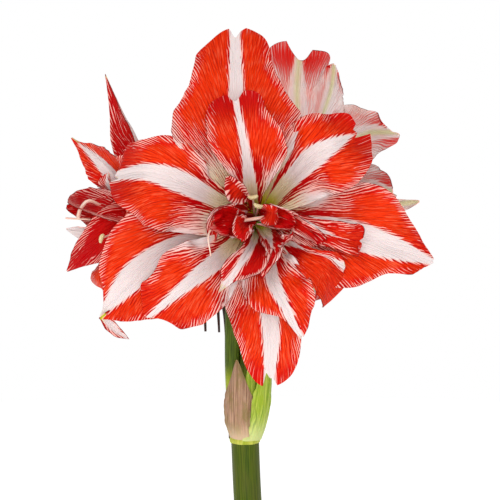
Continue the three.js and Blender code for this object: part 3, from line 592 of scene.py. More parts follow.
def petal(azimuth, reach, arch, tip, half, **settings):
    """Plain petal at an azimuth: how far it reaches, how far forward it arches and ends, its half-width."""
    profile = [(0.05 * reach, -6), (0.2 * reach, 0.42 * arch), (0.46 * reach, 0.8 * arch),
               (0.75 * reach, arch), (reach, tip)]
    return fanned(azimuth, profile, [part * half for part in (0.16, 0.66, 1, 0.95, 0.6)], **settings)


def lobe(spine, left, right, crown, blunt, ruffle, **settings):
    """A petal of its own outline."""
    return dict(spine=spine, left=left, right=right, crown=crown, round=blunt, ruffle=ruffle, **settings)


def cup(spine, left, right, crown, blunt, ruffle, fold, curl, band, **settings):
    """A small crumpled petal of the bloom's middle."""
    usual = dict(small=True, frill=(2, 4), margin=0.75, feather=6)
    settings = {**usual, **settings}
    return lobe(spine, left, right, crown, blunt, ruffle, fold=fold, curl=curl, band=band, **settings)


# Most spines, half-widths and crowns of the lobes and cups below were fitted by a separate program to
# outlines read by eye off a photograph, and rounded. The rest was set one by one.
# A small petal has its own grid, and the veins of a crosswise petal run across it.
FRONT_PETALS = {
    "top": lobe(
        [(-0.7, 3.8, -8), (-7.6, 40.1, 24), (-11.9, 68.3, 40), (-12.9, 95.2, 42), (-13.7, 125.6, 30)],
        (2, 21, 36, 46, 35, 29, 35), (5, 21, 37, 43, 32, 25, 29), (-5, 5, -2, 2, 5), 14, (2.5, 2.6, 0.1),
        band=(5, 6, 4.5, 3.3, 2.3), bare=0.36),
    "upper_left": lobe(
        [(-2.8, 3.1, -8), (-28.1, 14.1, 24), (-50, 25, 42), (-72.1, 31.6, 46), (-95.2, 29.8, 24)],
        (6, 24, 31, 36, 36, 29, 15), (5, 10, 12, 23, 27, 21, 32), (6, -4, 1, -4, -2), 16, (3, 2.8, 0.6),
        band=(4, 5, 6.5, 4.5, 2), bare=0.36, tipped=0.6),
    "upper_right": lobe([(4.9, 5.2, -8), (22.5, 25, 24), (37, 40, 40), (52.3, 49.7, 46), (69.2, 58.6, 34)],
        (4, 12, 17, 25, 27, 22, 22), (6, 15, 24, 28, 31, 28, 17), (2, -2, 0, -4, 10), 14, (2.5, 3, 0.3),
        band=(4, 5, 6.5, 4, -2), bare=0.42, tipped=0.5),
    "right": lobe([(4.9, 1.6, -8), (30.8, -2.3, 20), (57.6, -7.9, 34), (88, -17.5, 36), (121.3, -29.1, 22)],
        (5, 11, 20, 35, 40, 29, 14), (5, 13, 23, 39, 38, 24, 29), (1, 0, 1, -1, -7), 4, (2.5, 2.5, 0.5),
        band=(4, 5, 7.5, 7.5, 0.5), bare=0.42),
    "lower_left": lobe(
        [(-4.9, -1.9, -8), (-31.7, -11.2, 20), (-59.2, -20.8, 34), (-84, -40.5, 38), (-105.5, -65.3, 24)],
        (6, 17, 36, 42, 43, 36, 20), (8, 16, 23, 35, 35, 25, 2), (0, 2, 0, 1, -4), 5, (2, 2.6, 0.8),
        band=(5, 5, 6, 7.5, 0), bare=0.42, tipped=0.3),
    "bottom": lobe(
        [(-0.7, -4.7, -8), (4.7, -30.5, 20), (8.8, -54.2, 30), (10.8, -80.8, 30), (9.9, -110.4, 16)],
        (5, 10, 17, 20, 21, 20, 21), (5, 12, 25, 30, 26, 21, 17), (4, -1, -2, -6, 5), 14, (2, 2.5, 0.2),
        band=(5, 5, 5, 4.5, 2), bare=0.42),
    "hooked_tip": lobe(
        [(-104.4, -65.2, 29), (-103, -68.2, 21), (-100.1, -71.9, 14), (-95.7, -77, 9), (-88.3, -82.7, 6)],
        (6, 4, 4, 4, 4, 4, 2), (3, 3, 4, 5, 5, 5, 2), (1, 0, 0, 0, 0), 3, (0, 1, 0), fold=(0, 0.2),
        curl=(0.3, 0.3), small=True, band=(2, 2, 1, 0, -1), bare=-0.5, tone=0.3),
    "inner_top": lobe(
        [(-0.7, 5.8, -5), (-3.5, 23.5, 28), (-6.2, 42.9, 48), (-9.5, 61, 58), (-12.8, 78.7, 54)],
        (5, 6, 11, 18, 24, 24, 23), (5, 8, 17, 28, 28, 20, 25), (5, 1, 0, 2, 5), 14, (1.5, 2.4, 0.4),
        fold=(0.4, 0.3, 0.45), band=(4, 4.5, 2.4, 1.3, 0.8), bare=0.34, tone=0.2, tipped=0.7),
    "inner_lower_left": lobe(
        [(-3.5, -4.7, -5), (-19.9, -22.9, 30), (-34.3, -34.9, 50), (-51.4, -48.8, 58), (-69.8, -64.4, 50)],
        (5, 12, 18, 26, 28, 28, 23), (5, 12, 18, 23, 26, 22, 35), (-6, -1, 3, 3, -3), 9, (3, 3.4, 0.15),
        band=(5, 6, 4.6, 2.2, 0.2), bare=0.47, tipped=0.4),
    "inner_bottom": lobe(
        [(4.9, -4.7, -5), (8.8, -24.2, 30), (11.9, -41.6, 50), (19.8, -58.1, 58), (30, -78.5, 50)],
        (5, 10, 16, 22, 25, 23, 11), (5, 11, 16, 22, 21, 7, 3), (1, 0, 2, 2, -1), 5, (3, 3.6, 0.7),
        band=(5, 5, 3.6, 2, 0.2), bare=0.4, tipped=0.3),
    "inner_lower_right": lobe(
        [(4.9, -4, -4), (20.3, -14, 30), (35.4, -21.5, 48), (48.6, -25.5, 54), (59.1, -31.6, 44)],
        (5, 6, 3, 3, 3, 6, 5), (5, 7, 11, 13, 23, 31, 54), (0, 2, 2, 4, 11), 9, (2.5, 3, 0.35),
        band=(5, 3, -1, -1, 1.5), bare=0.3, margin=0.15, tone=0.25),
    "inner_right": lobe(
        [(3.5, 0.2, -3), (23.7, -1.1, 32), (42.2, -7.4, 46), (58.1, -12.8, 50), (72, -14.8, 42)],
        (4, 6, 7, 8, 11, 13, 21), (4, 11, 14, 13, 9, 11, 20), (-1, 0, -2, 0, -4), 9, (2.5, 3.2, 0.9),
        curl=(0.9, 0.4, 0.5), band=(8, 6, 1, -2, -3), bare=0.3, tone=0.35),
    "hood": cup([(-2.1, 8.2, 10), (-3.5, 11.9, 30), (-7.5, 17.5, 44), (-12.9, 23.4, 50), (-18.3, 28.2, 46)],
        (3, 3, 2, 9, 13, 9, 4), (3, 2, 2, 3, 4, 3, 3), (1, 0, 0), 8, (1, 3, 0.1), (0.3, 0.2, 0.2),
        (0.6, 0.5, 0.4), (-2, -3, -3, -3, -3), frill=(0.7, 5.5), crumple=0.7, bare=-0.1, tone=0.6,
        crosswise=True),
    "left_curl": cup([(0, 1.4, 6), (-5.5, 0.3, 30), (-12.2, -1.3, 46), (-20.2, -2.1, 52), (-27.5, -2.9, 58)],
        (2.5, 3.5, 6, 12, 17, 18, 16), (2.5, 3.5, 6, 10, 15, 18, 18), (6, 0, 0, 0, 3), 7, (3.2, 3.4, 0.4),
        (0.5, 0.3, 0.2), (0.9, 1, 1.1), (1, -1, -2, -3, -3), frill=(2.4, 4), crumple=2, bare=0.1, margin=0.9,
        feather=5, tone=0.95),
    "left_sliver": cup(
        [(-0.7, 4.2, 4), (-10.3, 5.2, 24), (-21.1, 5.6, 36), (-27.8, -1.2, 40), (-29.3, -14.1, 36)],
        (3, 9, 15, 13, 10, 8, 11), (3, 6, 6, 4, 6, 5, 5), (1, 0, 1), 6, (1.2, 3.2, 0.2), (0.3, 0.2),
        (0.5, 0.6, 0.5), (-1, -2, -3, -3, -3), frill=(0.7, 5.5), crumple=1, bare=0.1, tone=0.6),
    "low_curl": cup(
        [(0.7, -4.1, 4), (-0.8, -14.1, 36), (-5.5, -23.5, 56), (-12.1, -33.4, 64), (-22.2, -46.2, 56)],
        (4, 11, 14, 17, 19, 8, 6), (3, 7, 8, 7, 10, 14, 7), (-3, 5, -4), 4, (1.5, 3.2, 0.6), (0.4, 0.3, 0.3),
        (0.6, 0.5, 0.4), (3, 2.5, 1.8, 1.2, 1), crumple=0.9, bare=0.1, tone=0.9),
    "right_curl": cup([(0.7, 1.4, 6), (6, 0.2, 34), (11.9, 1.9, 50), (18.5, 0.5, 58), (25.8, -3.5, 58)],
        (2, 2.5, 4, 8, 12, 11, 6), (2, 2.5, 5, 10, 14, 14, 12), (1, 0, 1), 7, (3, 3.4, 0.8), (0.5, 0.4, 0.3),
        (0.8, 1, 1.1), (1, -1, -2, -3, -3), frill=(2.2, 4), crumple=1.8, bare=0.05, margin=0.9, feather=5,
        tone=0.9),
    "right_ruffle": cup(
        [(4.9, 2.8, 4), (15.5, 2.2, 36), (25.3, -1.4, 50), (35.1, -6.9, 58), (45.3, -14.2, 52)],
        (4, 4, 6, 7, 5, 5, 6), (3, 8, 9, 8, 8, 9, 8), (2, 0, 1), 7, (2, 4.5, 0.3), (0.4, 0.3, 0.3),
        (0.6, 0.6, 0.6), (-1, -2, -2, -3, -3), frill=(2.6, 4), crumple=1.2, bare=0.05, tone=0.85),
    "low_fold": cup(
        [(2.1, -2.7, 4), (7.4, -11.3, 34), (11.2, -18.2, 52), (12.4, -24.8, 60), (4.5, -38.1, 58)],
        (3, 8, 10, 11, 7, 3, 4), (3, 6, 7, 8, 7, 6, 4), (2, 0, 1), 6, (1.5, 3.4, 0.3), (0.3, 0.2, 0.3),
        (0.6, 0.5, 0.4), (6, 4, 0, -3, -3), crumple=1.2, bare=0.25, tone=0.95),
    "low_frill": cup(
        [(8.9, -2.9, 12), (14.7, -11.4, 42), (18.5, -16.2, 58), (21.7, -12.9, 62), (24.4, -8.2, 60)],
        (2, 4, 5, 5, 4), (2, 3, 4, 4, 3), (0, 0, 0), 6, (1, 3.4, 0.3), (0.2, 0.2), (0.5, 0.5),
        (1, -1, -3, -3, -3), frill=(1, 4), crumple=1, bare=0.1, tone=1),
    "left_lobe": cup(
        [(0.7, -0.1, 10), (-3.5, -1.9, 40), (-6.2, -4.9, 58), (-8.1, -8.9, 66), (-9.4, -14.2, 66)],
        (2, 3, 5, 5, 6, 7, 5), (2, 3, 4, 8, 14, 10, 6), (1, 0, 0), 6, (1.8, 3.2, 0.7), (0.3, 0.2),
        (0.6, 0.8), (-1, -2, -3, -3, -3), crumple=1.2, bare=0.05, feather=5, tone=0.8),
    "right_fold": cup([(2, 2.7, 12), (5.3, 3.5, 40), (7.8, 3.8, 58), (11.1, 3.7, 64), (15.1, 2.4, 62)],
        (2, 3, 4, 5, 7, 6, 2), (2, 4, 5, 6, 10, 11, 4), (-1, 0, 1), 6, (1.4, 3.2, 0.3), (0.3, 0.2),
        (0.6, 0.6), (-1, -2, -3, -3, -3), frill=(1.6, 4), crumple=0.8, bare=0.05, margin=0.3, feather=5,
        tone=0.6, crosswise=True),
}

LEFT_PETALS = {
    "upright": lobe([(0, 4, -6), (-2, 22, 20), (11.7, 44.3, 30), (-9.2, 65.8, 36), (-19.4, 103.4, 46)],
        (4, 4, 12, 16, 15, 7, 2), (4, 9, 11, 15, 21, 18, 5), (-2, 0, -3), 3.2, (1, 2.2, 0.1),
        fold=(0.3, 0.2, 0.2), roll=(0, -25, -45, -50), tuck=(0, 1.7), band=(5, 2, -2, -3, -3), bare=0.15,
        margin=0.35, feather=3, tone=0.9, full=0.86),
    "up_far": lobe(
        [(-2.4, 2.8, -6), (-9.7, 11.2, 21), (-1.2, 29.1, 40), (-16.6, 43.5, 50), (-48.5, 56.3, 55)],
        (4, 4, 6, 16, 17, 16, 9), (4, 15, 26, 32, 21, 11, 2), (-4, 1, 0, 0, -8), 4, (1.5, 2.4, 0.5),
        fold=(0.3, 0.3, 0.5), band=(5, 5.5, 6.5, 3, -3), bare=0.2, margin=0.3, tipped=0),
    "far": lobe([(-2, -0.4, -6), (19.7, 3.4, 22), (21.6, 8, 42), (0.8, 12.5, 54), (-33.9, 15, 60)],
        (3, 10, 14, 14, 20, 24, 14), (3, 10, 13, 11, 12, 12, 14), (-1, 2, -2), 5, (1.2, 2.4, 0.3),
        fold=(0.3, 0.3, 0.3), curl=(0.9, 0.9, 0.8), roll=(0, -20, -40, -45), band=(2, -1, -3, -3, -3),
        bare=0.1, tone=1, full=0.9),
    "low_far": lobe(
        [(-1.8, -2, -6), (17.4, -3.1, 22), (17.4, -2.2, 44), (3.7, -15.6, 56), (-35.6, -39.4, 60)],
        (4, 12, 18, 20, 18, 14, 4), (4, 12, 18, 20, 18, 14, 4), (0, 0, 0), 4, (1.2, 2.4, 0.7),
        fold=(0.3, 0.3, 0.3), curl=(0.6, 0.4, 0.3), roll=(0, 25, 40, 40), band=(1, -2, -3, -3, -3), bare=0.1,
        tone=0.95),
    "low_near": petal(292, 52, 52, 52, 25, round=4, ruffle=(1.5, 2.4, 0.2)),
    "near": petal(345, 56, 52, 48, 26, round=4, ruffle=(1.5, 2.4, 0.9)),
    "up_near": petal(40, 66, 50, 46, 25, round=4, ruffle=(1.5, 2.4, 0.4)),
    "inner_up": petal(70, 36, 50, 54, 14, round=5, ruffle=(2, 2.6, 0.3), curl=(0.9, 0.5, 0.5), tone=0.6),
    "inner_far": petal(165, 30, 52, 66, 13, round=5, ruffle=(2, 2.6, 0.6), curl=(0.9, 0.9, 1), tone=0.9,
        bare=0.1, band=(2, 0, -2, -3, -3)),
    "inner_low": lobe(
        [(-0.1, -1.6, -6), (17.2, -1.7, 22), (14.4, -3.9, 44), (-6.4, -9.3, 54), (-43.9, -9.6, 58)],
        (3, 8, 10, 11, 10, 9, 4), (3, 8, 10, 11, 10, 9, 4), (0, 0, 0), 4, (1.2, 2.4, 0.1),
        fold=(0.3, 0.3, 0.3), curl=(0.6, 0.4, 0.3), roll=(0, 20, 30, 30), band=(8, 8, 7, 7, 7), bare=0.6,
        tone=0.9),
}

RIGHT_PETALS = {
    "up": lobe([(0.8, 5.1, -6), (17.5, 20, 17), (22.3, 52.4, 32), (27.7, 76, 40), (12.8, 99.7, 32)],
        (5, 12, 17, 18, 19, 22, 33), (5, 13, 19, 23, 24, 21, 34), (9, 0, -1, 5, 14), 20, (2, 2.6, 0.2),
        fold=(0.3, 0.2, 0.1), curl=(0.5, 0.2, 0.2), roll=(0, -25, -38, -38), bare=0.25, tipped=0.7),
    "up_mid": lobe([(-0.7, 4.8, -6), (8.1, 19.7, 21), (3.6, 51.6, 40), (-0.1, 73.3, 50), (-11.7, 93.3, 45)],
        (4, 13, 16, 21, 15, 16, 15), (3, 29, 25, 28, 26, 14, 24), (-3, 0, 0, 0, -5), 4, (2, 2.6, 0.5),
        bare=0.25, tipped=0.7),
    "upper_near": lobe(
        [(-3.6, 2.7, -6), (1.5, 9.8, 21), (-12.3, 28.8, 40), (-34.3, 40.2, 50), (-66.7, 43.7, 44)],
        (4, 14, 24, 26, 22, 16, 12), (4, 8, 22, 32, 28, 17, 16), (10, 9, 3, 0, -4), 12, (2.5, 3, 0.3),
        band=(5, 4, 4, 4, 2), bare=0.25, tipped=0.7),
    "near": lobe([(-3.3, 0.2, -6), (-4, -7.2, 22), (-13.3, -4.2, 42), (-30.9, -2, 52), (-62.9, -1.9, 45)],
        (3, 15, 16, 17, 16, 14, 10), (3, 9, 15, 19, 21, 18, 19), (5, 0, 0, 0, 1), 9, (2, 2.6, 0.8)),
    "near_outer": lobe(
        [(-4.9, -0.3, -6), (-15.3, -13.5, 18), (-34.8, -14.6, 34), (-63.7, -11.2, 42), (-99.5, -4.7, 35)],
        (4, 14, 12, 11, 10, 9, 6), (3, 3, 8, 8, 8, 5, 3), (0, 0, 0, 0, 0), 3, (2, 2.6, 0.1)),
    "low_near": petal(232, 82, 42, 34, 26, round=6, ruffle=(2, 2.6, 0.4)),
    "low": petal(288, 96, 42, 30, 28, round=6, ruffle=(2, 2.6, 0.6)),
    "far": petal(340, 96, 42, 34, 28, round=6, ruffle=(2, 2.6, 0.9)),
    "up_far": petal(30, 94, 44, 36, 27, round=6, ruffle=(2, 2.6, 0.35)),
    "inner_low": petal(262, 66, 54, 48, 20, round=6, ruffle=(2, 2.8, 0.2)),
    "inner_far": petal(315, 64, 54, 48, 20, round=6, ruffle=(2, 2.8, 0.5)),
}


def placing(throat, turn, tilt):
    """Matrix from a rosette's frame, in metres, to the plant's."""
    return (Matrix.Translation(Vector(throat) * MM) @ Matrix.Rotation(math.radians(turn), 4, "Z")
            @ Matrix.Rotation(math.radians(-tilt), 4, "X"))


BLOOMS = {
    "front": dict(petals=FRONT_PETALS, place=placing((1.5, -57.5, 591), 0, 6), grid=(66, 42)),
    "left": dict(petals=LEFT_PETALS, place=placing((-62, -20, 586), -60, 4), grid=(56, 30)),
    "right": dict(petals=RIGHT_PETALS, place=placing((30, 50, 600), 130, 8), grid=(56, 32)),
}
SMALL_GRID = (44, 24)
PETAL_THICKNESS = 0.6
# How far apart the vein patterns of two petals lie
SEED_STEP = 3.7


def dyed(shape, u, v, half):
    """Dye, throat and tone at each point of a petal."""
    s = {**PLAIN_DYE, **shape}
    aside = np.abs(v) * half
    beyond = aside - through(s["band"], u)
    near = np.clip(0.6 + 0.3 * u + 1.6 * np.maximum(0, u - s["bare"]), 0, s["full"])
    outer = np.clip(0.5 + (u - s["bare"]) / 0.34, 0.2 * smooth(0.08, 0.25, u), s["full"])
    dye = near + (outer - near) * smooth(1.5, 9, beyond)
    dye = dye * smooth(-0.3, 1.4 + 2.6 * smooth(0.3, 0.6, u), beyond) - 0.4 * smooth(0.6, -1.2, beyond)
    at_tip = smooth(0.72, 0.97, u)
    lacking = s["margin"] * smooth(s["feather"], 0, half - aside) * smooth(0.2, 0.45, u)
    dye = dye - lacking * (1 - 0.5 * at_tip)
    throat = np.clip(1 - u / 0.36, 0, 1)
    wedges = 0.9 * smooth(0.55, 0.3, u) * smooth(12, 6, beyond)
    # The needles beside the band, dark and dense near the throat
    needles = smooth(0.62, 0.32, u) * smooth(0.06, 0.2, u) * smooth(0.1, 1.2, beyond) * smooth(8, 3, beyond)
    tone = np.clip(s["tone"] + s["tipped"] * at_tip + wedges + 0.4 * needles, 0, 1)
    return np.stack([dye + 0.24 * needles, throat, tone], axis=-1)


def petal_piece(name, shape, grid, seed):
    rows, columns = SMALL_GRID if shape.get("small") else grid
    points, u, v, half, length = blade_surface(shape, rows, columns, seed)
    piece, row, column = grid_piece(name, points)
    across, fan = vein_course(u, v, half)
    up = u * length
    if shape.get("crosswise"):
        across, fan, up = up, 0 * fan - 1, across
    vein = np.stack([across / PER_CM, up / PER_CM, SEED_STEP * seed + 0 * u], axis=-1)
    carry(piece, "vein", vein[row, column])
    carry(piece, "fan", np.stack([fan, u, 0 * u], axis=-1)[row, column])
    carry(piece, "dye", dyed(shape, u, v, half)[row, column])
    ridge = smooth(3.2, 0.6, np.abs(v) * half) * smooth(0.02, 0.1, u)
    rib = piece.data.attributes.new("rib", "FLOAT", "POINT")
    rib.data.foreach_set("value", ridge[row, column].astype(np.float32).ravel())
    for material in (PETAL_FACE, PETAL_BACK, PETAL_RIM):
        piece.data.materials.append(material)
    thicken(piece, PETAL_THICKNESS, material_offset=1, material_offset_rim=2)
    return piece


def set_in_bloom(name, bloom, pieces):
    """Joins pieces made in a bloom's rosette and sets them where the bloom is."""
    whole = join(f"{name}_{bloom}", pieces)
    whole.data.transform(BLOOMS[bloom]["place"])
    soften(whole)
    stands_for(whole, f"bloom_{bloom}", "petal")


for bloom, facts in BLOOMS.items():
    set_in_bloom("petals", bloom, [petal_piece(f"{bloom}_{name}", shape, facts["grid"], seed)
                                   for seed, (name, shape) in enumerate(facts["petals"].items())])


def fibre_lines():
    """Lines that run along a stem, leaf, bract or tunic."""
    inputs = {"Vein": None, "Across": 12.0, "Along": 0.5}
    group, n, inp, out = new_group("fibres", inputs, ("Line", "Patch", "Height"))
    paces = n.add("ShaderNodeCombineXYZ", {0: inp["Across"], 1: inp["Along"], 2: inp["Across"]}).outputs[0]
    drawn = n.add("ShaderNodeVectorMath", {0: inp["Vein"], 1: paces}, operation="MULTIPLY").outputs[0]
    line = n.stretched(drawn, (1, 1, 1))
    patch = n.stretched(drawn, (0.12, 1.2, 0.12), offset=(4.4, 1.2, 0.3))
    n.feed(out, Line=n.ramp(line, 0.32, 0.68), Patch=n.ramp(patch, 0.32, 0.68),
           Height=n.sum(line, n.times(patch, 0.6)))
    return group


FIBRES = fibre_lines()


def footed(n, colour, foot):
    """A colour that pales below a height. A foot is its colour, and the heights in metres where it ends and
    where it is whole."""
    if not foot:
        return colour
    pale, end, whole = foot
    return n.mix(n.ramp(n.parts(n.place())[2], end, whole, 0.0, 0.85), colour, srgb(*pale))


def living_skin(name, dark, light, tint, across=12.0, along=0.5, roughness=0.42, share=0.5, foot=None):
    """Green skin of a stem or leaf: dark and light along its fibres, with a share of patches in a tint."""
    material, n, shader = new_material(name, Subsurface_Weight=0.06, Subsurface_Scale=0.002,
                                       Specular_IOR_Level=0.15)
    marks = n.group(FIBRES, Vein=n.attribute("vein"), Across=across, Along=along)
    colour = n.mix(marks["Line"], srgb(*dark), srgb(*light))
    colour = n.mix(n.times(marks["Patch"], share), colour, srgb(*tint))
    n.feed(shader, Base_Color=footed(n, colour, foot), Normal=n.bump(marks["Height"], 0.0004, 0.8),
           Roughness=n.ramp(marks["Line"], 0, 1, roughness - 0.06, roughness + 0.1, "LINEAR"))
    return material


def papery_skin(name, dark, light, tint, across=9.0, along=0.35, foot=None):
    """Dry skin of a bract or tunic, with raised veins and withered patches."""
    material, n, shader = new_material(name, Subsurface_Weight=0.1, Subsurface_Scale=0.002,
                                       Specular_IOR_Level=0.25)
    vein = n.attribute("vein")
    marks = n.group(FIBRES, Vein=vein, Across=across, Along=along)
    cloud = n.stretched(vein, (1.4, 0.6, 1.4), detail=5.0, roughness=0.65)
    colour = n.mix(marks["Line"], srgb(*dark), srgb(*light))
    colour = n.mix(n.ramp(cloud, 0.42, 0.66, 0.0, 0.85), colour, srgb(*tint))
    n.feed(shader, Base_Color=footed(n, colour, foot),
           Roughness=n.ramp(cloud, 0.3, 0.7, 0.5, 0.72, "LINEAR"),
           Normal=n.bump(n.sum(marks["Height"], cloud), 0.0007, 0.9))
    return material


SCAPE_SKIN = living_skin("scape skin", (48, 70, 0), (84, 98, 8), (88, 84, 36), share=0.35, along=0.3)
PEDICEL_SKIN = living_skin("pedicel skin", (46, 66, 12), (104, 126, 36), (74, 92, 22), across=16.0,
                           foot=((176, 190, 54), 0.482, 0.462))
COLLAR_SKIN = living_skin("collar skin", (150, 164, 40), (204, 206, 96), (176, 176, 60), across=8.0)
TUBE_SKIN = living_skin("tube skin", (120, 150, 50), (188, 190, 110), (206, 120, 90), across=10.0)
THROAT_SKIN = living_skin("throat skin", (74, 120, 16), (150, 170, 34), (178, 178, 60), across=8.0)
LEAF_SKIN = living_skin("leaf skin", (34, 74, 22), (66, 112, 40), (88, 128, 52), across=11.0, along=0.22,
                        roughness=0.36, share=0.6)
FILAMENT_SKIN = living_skin("filament", (236, 180, 160), (248, 230, 212), (228, 120, 100), across=14.0,
                            share=0.35)
SPATHE_PINK = papery_skin("spathe pink", (134, 98, 74), (192, 152, 124), (136, 118, 66),
                          foot=((212, 182, 148), 0.440, 0.424))
SPATHE_GREEN = papery_skin("spathe green", (112, 142, 26), (190, 204, 84), (150, 174, 34),
                           foot=((206, 212, 140), 0.446, 0.424))
WITHERED = papery_skin("withered bracteole", (34, 18, 14), (84, 48, 36), (52, 26, 22), across=20.0)
TUNIC = papery_skin("bulb tunic", (88, 54, 32), (158, 112, 70), (112, 70, 40), across=5.0, along=0.3)
NECK_SKIN = papery_skin("bulb neck", (150, 150, 96), (206, 200, 150), (150, 112, 70), across=6.0)
ROOT_SKIN = papery_skin("root skin", (180, 160, 124), (226, 214, 186), (150, 124, 88), across=10.0)


def clay_skin():
    material, n, shader = new_material("terracotta", Specular_IOR_Level=0.2)
    place = n.place()
    cloud = n.stretched(place, (28, 28, 22), detail=5.0, roughness=0.6)
    grit = n.stretched(place, (900, 900, 900), detail=2.0)
    rings = n.stretched(place, (6, 6, 620))
    colour = n.mix(n.ramp(cloud, 0.3, 0.7), srgb(166, 84, 50), srgb(196, 116, 78))
    colour = n.mix(n.ramp(grit, 0.55, 0.75, 0.0, 0.5), colour, srgb(216, 150, 116))
    colour = n.mix(n.ramp(grit, 0.4, 0.25, 0.0, 0.5), colour, srgb(120, 56, 34))
    # Damp and dark at the foot, with a bloom of lime above it
    damp = n.sum(n.parts(place)[2], n.swing(cloud, 0.07))
    colour = n.mix(n.ramp(damp, 0.05, 0.012, 0.0, 0.55), colour, srgb(118, 66, 46))
    bloom = n.stretched(place, (46, 46, 30), detail=6.0, roughness=0.7, offset=(3.0, 1.0, 2.0))
    lime = n.times(n.ramp(bloom, 0.5, 0.72), n.ramp(damp, 0.02, 0.06))
    n.feed(shader, Base_Color=n.mix(n.times(lime, 0.55), colour, srgb(222, 200, 182)),
           Roughness=n.ramp(cloud, 0.3, 0.7, 0.74, 0.92, "LINEAR"),
           Normal=n.bump(n.sum(n.times(rings, 0.7), n.times(grit, 0.5)), 0.0009, 0.8))
    return material


def soil_skin():
    material, n, shader = new_material("potting soil", Specular_IOR_Level=0.2)
    place = n.place()
    crumb = n.stretched(place, (260, 260, 260), detail=6.0, roughness=0.7)
    fleck = n.stretched(place, (700, 700, 700), detail=1.0, offset=(5.0, 2.0, 1.0))
    colour = n.mix(n.ramp(crumb, 0.35, 0.65), srgb(34, 22, 15), srgb(84, 60, 42))
    colour = n.mix(n.ramp(fleck, 0.66, 0.72, 0.0, 0.8), colour, srgb(150, 122, 88))
    n.feed(shader, Base_Color=colour, Roughness=n.ramp(crumb, 0.3, 0.7, 0.85, 1.0, "LINEAR"),
           Normal=n.bump(n.sum(crumb, fleck), 0.0016))
    return material


def anther_skin():
    material, n, shader = new_material("anther", Specular_IOR_Level=0.2)
    dust = n.stretched(n.place(), (1800, 1800, 1800))
    n.feed(shader, Base_Color=n.mix(n.ramp(dust, 0.3, 0.7), srgb(206, 184, 120), srgb(244, 232, 190)),
           Roughness=n.ramp(dust, 0.3, 0.7, 0.7, 0.9, "LINEAR"), Normal=n.bump(dust, 0.0005))
    return material


CLAY, SOIL, ANTHER = clay_skin(), soil_skin(), anther_skin()

# Stamens and tube of each bloom. A stamen is given by its azimuth, its reach and how far forward it goes
FUNNEL = [(0, -45), (6.4, -44.6), (6.7, -32), (8.4, -18), (10.6, -8), (11.2, -3.5), (9.6, -4.5), (6.5, -12),
          (4, -20), (0, -23)]
# How far behind the throat the tube's inner side has the colour of a throat
THROAT_DEPTH = 23.5
STAMENS = {
    "front": [(75, 9, 44), (96, 15, 40)],
    "left": [(330, 22, 60)],
    "right": [(60, 16, 62), (100, 9, 70), (250, 14, 64), (330, 22, 60)],
}
# Filaments without anthers, among the inner petals: points, then the radii along them
BARE_FILAMENTS = {
    "front": [([(6, 2, -4), (17, 4, 26), (12, 2.2, 47), (-8, -1.2, 54)], (0.9, 1.15)),
              ([(-4, -3, 0), (-22, -4, 40), (-31, -10, 58), (-29.5, -25, 60)], (0.7, 0.5))],
    "left": [([(-3, -2, 0), (-4, -2, 32), (-5, 0, 55), (-22.7, -0.4, 69)], (0.8, 0.6)),
             ([(-2, 2, 0), (-3, 4, 35), (2.4, 11.2, 55), (4.7, 14, 65), (0.7, 7.1, 69), (2.4, 1.4, 71)],
              (0.9, 1.3))],
    "right": [],
}


def stamen_pieces(bloom, index, azimuth, reach, forward):
    """A filament from the throat and the anther across its end."""
    angle = math.radians(azimuth)
    out = np.array((math.cos(angle), 0, math.sin(angle)))
    across = np.array((-math.sin(angle), 0, math.cos(angle)))
    ahead = np.array((0.0, -1.0, 0.0))
    line = [part * reach * out + height * ahead
            for part, height in ((0.2, -4), (0.35, 0.4 * forward), (0.65, 0.75 * forward), (1, forward))]
    filament = stalk_piece(f"{bloom}_filament_{index}", line, (1.1, 0.85, 0.75, 0.6), 10, 24, index,
                           skin=FILAMENT_SKIN)
    bow = [line[-1] + aside * across + raised * out
           for aside, raised in ((-3.4, 0.8), (-1.4, -0.2), (1.4, -0.2), (3.4, 0.8))]
    anther = stalk_piece(f"{bloom}_anther_{index}", bow, (0.9, 1.5, 1.5, 0.9), 12, 12, index, 0.12, ANTHER)
    return [filament, anther]


def bloom_heart(bloom):
    """The tube behind a bloom's throat and its stamens, in the rosette's frame."""
    tube = turned_piece(f"{bloom}_tube", FUNNEL, 36, 40,
                        lambda a, h, r: 0.35 * np.cos(3 * a) * (r > 5.5), seed=2)
    tube.data.transform(Matrix.Rotation(math.pi / 2, 4, "X"))
    tube.data.materials.append(TUBE_SKIN)
    tube.data.materials.append(THROAT_SKIN)
    for polygon in tube.data.polygons:
        x, y, z = polygon.center
        polygon.material_index = int(y < THROAT_DEPTH * MM and polygon.normal.dot((x, 0, z)) < 0)
    pieces = [tube]
    for index, place in enumerate(STAMENS[bloom]):
        pieces += stamen_pieces(bloom, index, *place)
    for index, (points, radii) in enumerate(BARE_FILAMENTS[bloom]):
        line = [(x, -forward, z) for x, z, forward in points]
        pieces.append(stalk_piece(f"{bloom}_bare_filament_{index}", line, radii, 12, 30, index, 0.08,
                                  FILAMENT_SKIN))
    return pieces


for bloom in BLOOMS:
    set_in_bloom("heart", bloom, bloom_heart(bloom))

# Scape, its collar and the pedicels. SEAT is where the collar and the bracts start
SCAPE_LINE = [(0, 0, 168.3), (1.5, 0, 250), (0, 0, 320), (-3.9, 0, 381), (-5.8, 0, 426)]
SEAT = (-5.8, 0, 421)
COLLAR = [(0, 0), (10.2, 0.1), (11.2, 1.6), (11.3, 3.6), (10, 5.2), (5, 6.6), (0, 7)]
PEDICELS = {
    "front": [(-4, -3, 420), (-4, -5, 470), (0, 2, 530), (1, 5, 567)],
    "left": [(-9, -1, 420), (-14, -1, 465), (-14.5, 2, 520), (-10.5, 9, 563)],
    "right": [(-3, 5, 420), (-1, 12, 480), (-4, 19, 545), (-12, 18, 577)],
}
